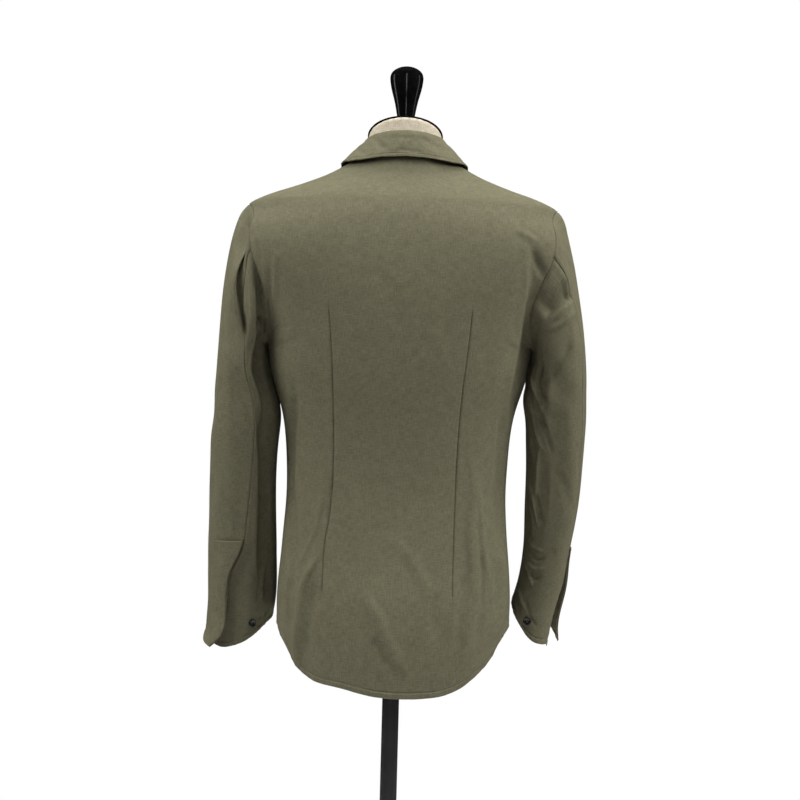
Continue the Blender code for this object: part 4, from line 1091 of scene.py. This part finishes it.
# A scale is one over a pattern's size in metres. Cloth: slubs of 1.1 by 9 mm and cloudy patches of 14 mm, the
# share of each and of the threads in a place's tone, what is taken off it, and the slubs' height beside the
# threads'; then the places of its dark, middle and pale colour.
SLUB_SCALE, CLOUD_SCALE = (900.0, 110.0), 70.0
SLUB_SHARE, CLOUD_SHARE, THREAD_TONE, TONE_SHIFT = 0.62, 0.34, 0.05, -0.045
SLUB_RELIEF = 0.9
WEFT = 1.1                     # the olive cloth's weft spacing beside its warp's
WOVEN_STOPS = (0.52, 0.74, 0.96)


def woven_cloth(name, warp_mm, weft_mm, colours, bump_mm, sheen):
    """Plain weave in a slubby yarn, in a dark, a middle and a pale colour. The threads are drawn at their
    spacing in both ways; thick places in the yarn, slubs, are long thin streaks that lie along each way and
    are what the eye sees from a distance."""
    surface = {
        "Roughness": 0.92,
        "IOR": 1.45,
        "Specular IOR Level": 0.15,
        "Sheen Weight": sheen,
        "Sheen Roughness": 0.45,
        "Sheen Tint": linear(colours[-1]),
    }
    finish, tree, shader = new_material(name, surface)
    place = add_node(tree, "ShaderNodeUVMap", uv_map="weave").outputs["UV"]
    parts = add_node(tree, "ShaderNodeSeparateXYZ", {"Vector": place})
    threads = []
    for axis, spacing in (("X", warp_mm), ("Y", weft_mm)):
        links = {0: parts.outputs[axis], 1: 2 * math.pi / (spacing * MM)}
        turns = add_node(tree, MATH, links, operation="MULTIPLY").outputs[0]
        threads.append(add_node(tree, MATH, {0: turns}, operation="SINE").outputs[0])
    over = add_node(tree, MATH, dict(enumerate(threads)), operation="MULTIPLY").outputs[0]
    slubs = []
    for scale in (SLUB_SCALE, SLUB_SCALE[::-1]):
        stretched = add_node(tree, "ShaderNodeMapping", {"Vector": place, "Scale": (*scale, 1.0)})
        links = {"Vector": stretched.outputs[0], "Scale": 1.0, "Detail": 3.0, "Roughness": 0.6}
        slubs.append(add_node(tree, NOISE, links, noise_dimensions="2D").outputs["Fac"])
    streaks = add_node(tree, MATH, dict(enumerate(slubs)), operation="ADD").outputs[0]
    links = {"Vector": place, "Scale": CLOUD_SCALE, "Detail": 5.0, "Roughness": 0.7}
    patches = add_node(tree, NOISE, links, noise_dimensions="2D").outputs["Fac"]
    tone = TONE_SHIFT
    for part, share in ((streaks, SLUB_SHARE), (patches, CLOUD_SHARE), (over, THREAD_TONE)):
        tone = add_node(tree, MATH, {0: part, 1: share, 2: tone}, operation="MULTIPLY_ADD").outputs[0]
    colour = add_node(tree, "ShaderNodeValToRGB", {"Fac": tone}, zip(WOVEN_STOPS, colours))
    tree.links.new(colour.outputs["Color"], shader.inputs["Base Color"])
    links = {0: streaks, 1: SLUB_RELIEF, 2: over}
    relief = add_node(tree, MATH, links, operation="MULTIPLY_ADD").outputs[0]
    bump = add_node(tree, "ShaderNodeBump", {"Height": relief, "Strength": 0.6, "Distance": bump_mm * MM})
    tree.links.new(bump.outputs["Normal"], shader.inputs["Normal"])
    return finish


def mottled_finish(name, grain, stops, gloss=None, relief=None, stretch=None, surface=None):
    """A finish whose colour, and gloss if it has a range of roughness, waver with one noise of this scale and
    detail, and whose surface may waver with another, given as (scale, detail, strength, depth)."""
    finish, tree, shader = new_material(name, surface)
    place = add_node(tree, "ShaderNodeTexCoord").outputs["Object"]
    drawn = place
    if stretch:
        drawn = add_node(tree, "ShaderNodeMapping", {"Vector": place, "Scale": stretch}).outputs[0]
    links = {"Vector": drawn, "Scale": grain[0], "Detail": grain[1]}
    mottle = add_node(tree, NOISE, links).outputs["Fac"]
    colour = add_node(tree, "ShaderNodeValToRGB", {"Fac": mottle}, stops)
    tree.links.new(colour.outputs["Color"], shader.inputs["Base Color"])
    if gloss:
        links = {"Value": mottle, "To Min": gloss[0], "To Max": gloss[1]}
        tree.links.new(add_node(tree, "ShaderNodeMapRange", links).outputs[0], shader.inputs["Roughness"])
    if relief:
        scale, detail, strength, depth = relief
        links = {"Vector": place, "Scale": scale, "Detail": detail}
        waver = add_node(tree, NOISE, links).outputs["Fac"]
        links = {"Height": waver, "Strength": strength, "Distance": depth}
        tree.links.new(add_node(tree, "ShaderNodeBump", links).outputs["Normal"], shader.inputs["Normal"])
    return finish


def mix_finishes():
    """Makes every material once."""
    thread = bpy.context.scene.jacket_cloth.thread_mm
    # Linen and cotton in plain weave, washed matt, with a slubby grain both ways. Its threads are drawn at
    # 1.3 mm in place of 0.5 mm, which is too fine to show.
    finishes["cloth"] = woven_cloth(
        "woven olive linen cotton", thread, thread * WEFT, ("#525040", "#5d5a48", "#666351"), 0.10, 0.05
    )
    # Natural linen in the same weave, drawn the same way: paler, with a little more relief and sheen.
    finishes["linen"] = woven_cloth(
        "woven cream linen", thread, thread, ("#a29883", "#b3a996", "#bfb7a7"), 0.14, 0.08
    )
    # Twisted thread, dyed a shade lighter than the cloth: fine bands of its twist, 0.4 mm each, matt.
    finishes["thread"] = mottled_finish(
        "olive sewing thread",
        (2500.0, 1.0),
        ((0.35, "#5c5945"), (0.7, "#6d6954")),
        surface={"Roughness": 0.75, "Specular IOR Level": 0.2},
    )
    # Turned wood under a glossy black lacquer: black, with sharp reflections that waver a little over the
    # lacquer's 4 mm peel, and a duller bloom in patches of 11 mm.
    finishes["lacquer"] = mottled_finish(
        "black lacquered wood",
        (90.0, 6.0),
        ((0.35, "#060607"), (0.7, "#0d0d0e")),
        gloss=(0.08, 0.22),
        relief=(260.0, 2.0, 0.12, 0.2 * MM),
        surface={"Specular IOR Level": 0.35},
    )
    # Steel under satin black paint, with the 1 mm grain of a sprayed coat and handled patches of 40 mm.
    finishes["steel"] = mottled_finish(
        "black painted steel",
        (25.0, 5.0),
        ((0.3, "#0b0b0c"), (0.75, "#131314")),
        gloss=(0.30, 0.48),
        relief=(900.0, 2.0, 0.25, 0.1 * MM),
    )
    # Polished horn-like button: black with faint brown streaks of 1 by 6 mm.
    finishes["horn"] = mottled_finish(
        "polished black horn",
        (1.0, 4.0),
        ((0.4, "#08080a"), (0.8, "#1b1512")),
        gloss=(0.18, 0.32),
        stretch=(900.0, 900.0, 160.0),
    )
    # A plain pale studio floor, matt, with a barely seen mottle of a third of a metre.
    finishes["floor"] = mottled_finish(
        "pale studio floor", (3.0, 4.0), ((0.3, "#e6e6e5"), (0.7, "#ededec")), surface={"Roughness": 0.8}
    )


# -------------------- turned pieces


def turned(name, rings, segments):
    """A turned piece round the upright axis: a circle at the lowest ring, extruded and resized from ring to
    ring, (radius, height) each, and closed at both ends."""
    deselect()
    radius, height = rings[0]
    bpy.ops.mesh.primitive_circle_add(
        vertices=segments, radius=radius, fill_type="NGON", location=(0, 0, height)
    )
    piece = bpy.context.object
    piece.name = piece.data.name = name
    bpy.ops.object.mode_set(mode="EDIT")
    bpy.ops.mesh.select_mode(type="EDGE")
    bpy.ops.mesh.select_all(action="SELECT")
    for (before, low), (after, high) in zip(rings, rings[1:]):
        bpy.ops.mesh.extrude_edges_move(TRANSFORM_OT_translate={"value": (0, 0, high - low)})
        share = after / before
        bpy.ops.transform.resize(value=(share, share, 1), center_override=(0, 0, high))
    bpy.ops.mesh.edge_face_add()
    bpy.ops.mesh.select_all(action="SELECT")
    bpy.ops.mesh.normals_make_consistent(inside=False)
    bpy.ops.object.mode_set(mode="OBJECT")
    settle(piece)
    bpy.ops.object.shade_smooth_by_angle(angle=TURNED_ANGLE)
    return piece


def smooth_profile(rings, per_span):
    """More rings along a smooth curve through these."""
    rings = np.array(rings)
    knots = run_along(rings)
    places = []
    for start, end in zip(knots, knots[1:]):
        places += [start + (end - start) * i / per_span for i in range(per_span)]
    return spline(rings, knots, np.array(places + [knots[-1]]))


# -------------------- what can be set


class ClothSettings(bpy.types.PropertyGroup):
    """Sizes of the jacket's cloth."""

    thread_mm: bpy.props.FloatProperty(
        name="Thread spacing (mm)",
        description="Spacing of the drawn threads; the real cloth has one every 0.5 mm, too fine to show",
        default=1.3,
    )
    wall: bpy.props.FloatProperty(
        name="Cloth thickness", description="Wall of one layer of cloth", default=0.9 * MM, unit="LENGTH"
    )
    placket: bpy.props.FloatProperty(
        name="Placket thickness", description="Wall of a placket strip", default=1.7 * MM, unit="LENGTH"
    )
    collar: bpy.props.FloatProperty(
        name="Collar thickness", description="Wall of the collar", default=1.3 * MM, unit="LENGTH"
    )
    hem: bpy.props.FloatProperty(
        name="Hem width", description="Width of the turned and stitched hems", default=6.0 * MM, unit="LENGTH"
    )


class FormSettings(bpy.types.PropertyGroup):
    """Sizes of the dress form's turned pieces."""

    finial_radius: bpy.props.FloatProperty(
        name="Finial radius", description="At its widest", default=0.0221, unit="LENGTH"
    )


class StageSettings(bpy.types.PropertyGroup):
    """The studio."""

    floor_radius: bpy.props.FloatProperty(
        name="Floor radius", description="Round pale floor", default=1.7, unit="LENGTH"
    )
    room_light: bpy.props.FloatProperty(
        name="Room light", description="Strength of the light that comes from all round", default=0.012
    )


# -------------------- operators


class JACKET_OT_materials(bpy.types.Operator):
    """Weaves the cloth and mixes the paint, lacquer and horn"""

    bl_idname = "jacket.materials"
    bl_label = "Make the materials"

    def execute(self, context):
        mix_finishes()
        return {"FINISHED"}


class JACKET_OT_lay_out(bpy.types.Operator):
    """Reads the panels from the frame, folds their cloth and sews their edges together"""

    bl_idname = "jacket.lay_out"
    bl_label = "Lay out the panels"

    def execute(self, context):
        lay_out()
        find_vent_sides()
        for _ in range(FIRST_ROUNDS):
            sew_together(FIRST_SETTLE)
        shape_cloth(context.scene.jacket_cloth)
        for settle_over in LAST_SETTLE:
            sew_together(settle_over)
        for side, lowest in TOUCH_DOWN_TO.items():
            lean_on_body(side, lowest)
        return {"FINISHED"}


class JACKET_OT_body(bpy.types.Operator):
    """Makes the back with its two darts, and the two fronts"""

    bl_idname = "jacket.body"
    bl_label = "Back and fronts"

    def execute(self, context):
        sew_body(context.scene.jacket_cloth)
        return {"FINISHED"}


class JACKET_OT_sleeves(bpy.types.Operator):
    """Makes the two-piece sleeves and the plackets along their vents"""

    bl_idname = "jacket.sleeves"
    bl_label = "Sleeves and plackets"

    def execute(self, context):
        sew_sleeves(context.scene.jacket_cloth)
        return {"FINISHED"}


class JACKET_OT_collar(bpy.types.Operator):
    """Makes the turn-down collar"""

    bl_idname = "jacket.collar"
    bl_label = "Collar"

    def execute(self, context):
        sew_collar(context.scene.jacket_cloth)
        return {"FINISHED"}


class JACKET_OT_buttons(bpy.types.Operator):
    """Makes the front and cuff buttons with their holes and thread"""

    bl_idname = "jacket.buttons"
    bl_label = "Buttons"

    def execute(self, context):
        add_buttons()
        return {"FINISHED"}


class JACKET_OT_form(bpy.types.Operator):
    """Makes the linen torso, the neck cap and the turned finial"""

    bl_idname = "jacket.form"
    bl_label = "Dress form"

    def execute(self, context):
        make_form(context.scene.jacket_form)
        return {"FINISHED"}


class JACKET_OT_stand(bpy.types.Operator):
    """Makes the pole and the round base"""

    bl_idname = "jacket.stand"
    bl_label = "Pole and base"

    def execute(self, context):
        make_stand()
        return {"FINISHED"}


class JACKET_OT_stage(bpy.types.Operator):
    """Sets the floor, the lights and the camera"""

    bl_idname = "jacket.stage"
    bl_label = "Studio"

    def execute(self, context):
        set_stage(context.scene.jacket_stage)
        return {"FINISHED"}


class JACKET_PT_panel(bpy.types.Panel):
    """Lists the jacket's pieces"""

    bl_idname = "JACKET_PT_panel"
    bl_label = "Coverall jacket"
    bl_space_type = "VIEW_3D"
    bl_region_type = "UI"
    bl_category = "Jacket"

    def draw(self, context):
        for group in (context.scene.jacket_cloth, context.scene.jacket_form, context.scene.jacket_stage):
            box = self.layout.box()
            for key in group.__annotations__:
                box.prop(group, key)
        for operator in OPERATORS:
            self.layout.operator(operator.bl_idname)


# -------------------- the pieces


def sew_body(sizes):
    """The back and the two fronts, their hems and front edges stitched."""
    stitches = []
    for name in ("back", "front_left", "front_right"):
        make_cloth(name, sizes.wall)
        for side, kind in ENDS[name].items():
            if kind == "hem":
                stitches += stitches_along(sheets[name], side, sizes.hem)
    sew_threads("body_hem_stitches", stitches)


def sew_sleeves(sizes):
    """The four sleeve panels and the two plackets, their cuffs stitched."""
    stitches = []
    for side in ("left", "right"):
        for name in ("top_sleeve_" + side, "under_sleeve_" + side):
            sheet = sheets[name]
            make_cloth(name, sizes.wall)
            stitches += stitches_along(sheet, "bottom", sizes.hem)
            vent = sheet.row_knots[VENT_ROW] / sheet.length
            stitches += stitches_along(sheet, vent_sides[name], sizes.hem, vent + VENT_CLEAR)
        name = "sleeve_placket_" + side
        make_cloth(name, sizes.placket)
        for edge in ("start", "end"):
            stitches += stitches_along(sheets[name], edge, PLACKET_STITCH)
        for off in PLACKET_BARS:
            stitches += stitches_along(sheets[name], "top", off)
    sew_threads("sleeve_stitches", stitches)


def sew_collar(sizes):
    """The turn-down collar, its edge stitched all round."""
    make_cloth("collar", sizes.collar)
    stitches = []
    for side in ("bottom", "start", "end"):
        stitches += stitches_along(sheets["collar"], side, sizes.hem)
    sew_threads("collar_stitches", stitches)


def add_buttons():
    """One button is modelled with its dish and four holes for each button's seat, and sewn on with thread."""
    for name in sorted(frame["nodes"]):
        if "button" not in name:
            continue
        points = np.array([v.co for v in frame["nodes"][name].data.vertices])
        middle = points.mean(axis=0)
        _, ways = np.linalg.eigh(np.cov((points - middle).T))
        axis = Vector(ways[:, 0])
        away = Vector((0, 1 if "cuff" in name else -1, 0))
        if axis.dot(away) < 0:
            axis.negate()
        out = np.array(axis)
        reach = (points - middle) @ out
        low, high = reach.min(), reach.max()
        radius = np.linalg.norm((points - middle) - np.outer(reach, out), axis=1).max()
        button = one_button(name + "_horn", radius, high - low)
        turn = axis.to_track_quat("Z", "Y").to_matrix().to_4x4()
        seat = Matrix.Translation(Vector(middle) + axis * low) @ turn
        button.data.transform(seat)
        button.data.update()
        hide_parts(name)
        dress(button, finishes["horn"])
        lift = Vector((0, 0, (high - low) * THREAD_HEIGHT))
        ends = [np.array(seat @ (hole_spot(radius, number) + lift)) for number in range(HOLES)]
        bars = [(ends[0], ends[1], out), (ends[3], ends[2], out)]
        sew_threads(name + "_thread", bars, radius * HOLE_THREAD)


def hole_spot(radius, number):
    """Where one of a button's four holes lies, round its middle."""
    angle = math.radians(360 / HOLES * (number + 0.5))
    return Vector((math.cos(angle), math.sin(angle), 0)) * radius * HOLE_OFF


def one_button(name, radius, thick):
    """A dished button with a rounded rim and four holes, standing on the origin."""
    button = turned(name, [(radius * across, thick * up) for across, up in BUTTON], segments=40)
    for number in range(HOLES):
        deselect()
        bpy.ops.mesh.primitive_cylinder_add(
            vertices=12,
            radius=radius * HOLE_RADIUS,
            depth=thick * 3,
            location=hole_spot(radius, number) + Vector((0, 0, thick / 2)),
        )
        cutter = bpy.context.object
        hole = button.modifiers.new("Hole", "BOOLEAN")
        hole.operation = "DIFFERENCE"
        hole.object = cutter
        apply_modifiers(button)
        bpy.data.objects.remove(cutter)
    make_active(button)
    bpy.ops.object.shade_smooth_by_angle(angle=BUTTON_ANGLE)
    return button


def make_form(sizes):
    """The torso with its neck, the neck cap and the finial."""
    make_torso()
    make_cap()
    make_finial(sizes)


def make_torso():
    """The linen torso: a merged copy of its solid, drawn smooth."""
    mesh = frame["nodes"]["form_torso"].data.copy()
    mesh.name = "form_torso_linen"
    torso = link("form_torso_linen", mesh)
    body = bmesh.new()
    body.from_mesh(mesh)
    bmesh.ops.remove_doubles(body, verts=body.verts, dist=MERGE)
    bmesh.ops.dissolve_limit(
        body,
        angle_limit=FLAT_ANGLE,
        verts=body.verts,
        edges=[e for e in body.edges if min(v.co.z for v in e.verts) > NECK_TOP_FROM],
    )
    body.to_mesh(mesh)
    body.free()
    make_active(torso)
    bpy.ops.object.mode_set(mode="EDIT")
    bpy.ops.mesh.select_all(action="SELECT")
    bpy.ops.mesh.tris_convert_to_quads(face_threshold=QUAD_ANGLES[0], shape_threshold=QUAD_ANGLES[1])
    bpy.ops.object.mode_set(mode="OBJECT")
    crisp = [min(mesh.vertices[v].co.z for v in edge.vertices) > NECK_TOP_FROM for edge in mesh.edges]
    mesh.attributes.new("crease_edge", "FLOAT", "EDGE").data.foreach_set("value", np.array(crisp, np.float32))
    smooth = torso.modifiers.new("Smooth linen", "SUBSURF")
    smooth.levels = smooth.render_levels = 2
    apply_modifiers(torso)
    mesh = torso.data
    mesh.shade_smooth()
    mesh.set_sharp_from_angle(angle=NECK_ANGLE)
    weave = mesh.uv_layers.new(name="weave")
    for loop in mesh.loops:
        place = mesh.vertices[loop.vertex_index].co
        weave.data[loop.index].uv = (math.atan2(place.x, place.y) * NECK_RADIUS, place.z)
    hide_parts("form_torso")
    dress(torso, finishes["linen"])


def make_cap():
    """The lacquered neck cap, a thin disc with a rounded rim on the neck's slope."""
    low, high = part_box("form_neck_cap")
    radius = (high.x - low.x) / 2
    lean = math.atan(CAP_LEAN)
    rings = [(radius * across, CAP_THICK * up) for across, up in CAP]
    cap = turned("form_neck_cap_lacquer", rings, segments=96)
    seat = Vector((0, 0, NECK_TOP + SEAT_GAP / math.cos(lean)))
    cap.data.transform(Matrix.Translation(seat) @ Matrix.Rotation(lean, 4, "X"))
    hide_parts("form_neck_cap")
    dress(cap, finishes["lacquer"])


def make_finial(sizes):
    """The turned finial, its foot cut to the neck cap's slope."""
    share = sizes.finial_radius / FINIAL_WIDEST
    rings = [(r * share, FINIAL_TOP - down) for r, down in smooth_profile(FINIAL, per_span=3)]
    seat = NECK_TOP + (2 * SEAT_GAP + CAP_THICK) / math.cos(math.atan(CAP_LEAN))
    finial = turned("form_finial_lacquer", rings, segments=64)
    foot = rings[0][1]
    for vert in finial.data.vertices:
        if vert.co.z < foot + FOOT_BAND:
            vert.co.z = seat + CAP_LEAN * vert.co.y
    finial.data.update()
    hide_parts("form_finial")
    dress(finial, finishes["lacquer"])


def make_stand():
    """The pole and the base."""
    low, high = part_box("form_pole")
    radius = (high.x - low.x) / 2
    slim = radius - POLE_RIM
    rings = ((slim, low.z), (radius, low.z + POLE_RIM), (radius, high.z - POLE_RIM), (slim, high.z))
    pole = turned("form_pole_steel", rings, segments=64)
    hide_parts("form_pole")
    dress(pole, finishes["steel"])

    low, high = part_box("form_base")
    radius = (high.x - low.x) / 2
    plate = [(radius * share, height) for share, height in PLATE]
    rim = [(hub_radius, high.z - down) for hub_radius, down in HUB_RIM]
    base = turned("form_base_steel", [*plate, *HUB, *rim], segments=128)
    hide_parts("form_base")
    dress(base, finishes["steel"])


def set_stage(sizes):
    """Floor, lights, world and camera."""
    deselect()
    bpy.ops.mesh.primitive_circle_add(
        vertices=96, radius=sizes.floor_radius, fill_type="NGON", location=(0, 0, 0)
    )
    floor = bpy.context.object
    floor.name = "studio_floor"
    floor.data.materials.append(finishes["floor"])

    world = bpy.data.worlds.new("studio")
    bpy.context.scene.world = world
    world.use_nodes = True
    tree = world.node_tree
    backdrop = tree.nodes["Background"]
    backdrop.inputs["Color"].default_value = (1, 1, 1, 1)
    seen = add_node(tree, "ShaderNodeLightPath").outputs["Is Camera Ray"]
    strength = add_node(
        tree, "ShaderNodeMapRange", {"Value": seen, "To Min": sizes.room_light, "To Max": 1.0}
    )
    tree.links.new(strength.outputs[0], backdrop.inputs["Strength"])

    for name, place, target, width, height, power in LIGHTS:
        light = bpy.data.lights.new(name, "AREA")
        light.shape = "RECTANGLE"
        light.size, light.size_y = width, height
        light.energy = power
        lamp = link(name, light)
        lamp.visible_glossy = "strip" in name
        lamp.location = place
        lamp.rotation_euler = (Vector(target) - Vector(place)).to_track_quat("-Z", "Y").to_euler()

    camera = bpy.data.cameras.new("photo camera")
    camera.sensor_width = SENSOR
    camera.lens = SENSOR * EYE_DISTANCE / (PICTURE * PIXEL)
    eye = link("photo camera", camera)
    eye.matrix_world = (
        Matrix.Translation((-AXIS_BESIDE * PIXEL, EYE_DISTANCE, EYE_HEIGHT))
        @ Matrix.Rotation(math.pi, 4, "Z")
        @ Matrix.Rotation(math.pi / 2, 4, "X")
        @ Matrix.Rotation(ROLL, 4, "Z")
    )
    bpy.context.scene.camera = eye
    bpy.context.scene.view_settings.view_transform = "Standard"


OPERATORS = (
    JACKET_OT_materials,
    JACKET_OT_lay_out,
    JACKET_OT_body,
    JACKET_OT_sleeves,
    JACKET_OT_collar,
    JACKET_OT_buttons,
    JACKET_OT_form,
    JACKET_OT_stand,
    JACKET_OT_stage,
)
CLASSES = (ClothSettings, FormSettings, StageSettings, *OPERATORS, JACKET_PT_panel)


def register():
    for made in CLASSES:
        bpy.utils.register_class(made)
    bpy.types.Scene.jacket_cloth = bpy.props.PointerProperty(type=ClothSettings)
    bpy.types.Scene.jacket_form = bpy.props.PointerProperty(type=FormSettings)
    bpy.types.Scene.jacket_stage = bpy.props.PointerProperty(type=StageSettings)


def unregister():
    del bpy.types.Scene.jacket_cloth
    del bpy.types.Scene.jacket_form
    del bpy.types.Scene.jacket_stage
    for made in reversed(CLASSES):
        bpy.utils.unregister_class(made)


def main():
    register()
    deselect()
    bpy.ops.jacket.materials()
    bpy.ops.jacket.lay_out()
    bpy.ops.jacket.body()
    bpy.ops.jacket.sleeves()
    bpy.ops.jacket.collar()
    bpy.ops.jacket.buttons()
    bpy.ops.jacket.form()
    bpy.ops.jacket.stand()
    bpy.ops.jacket.stage()


if __name__ == "__main__":
    main()
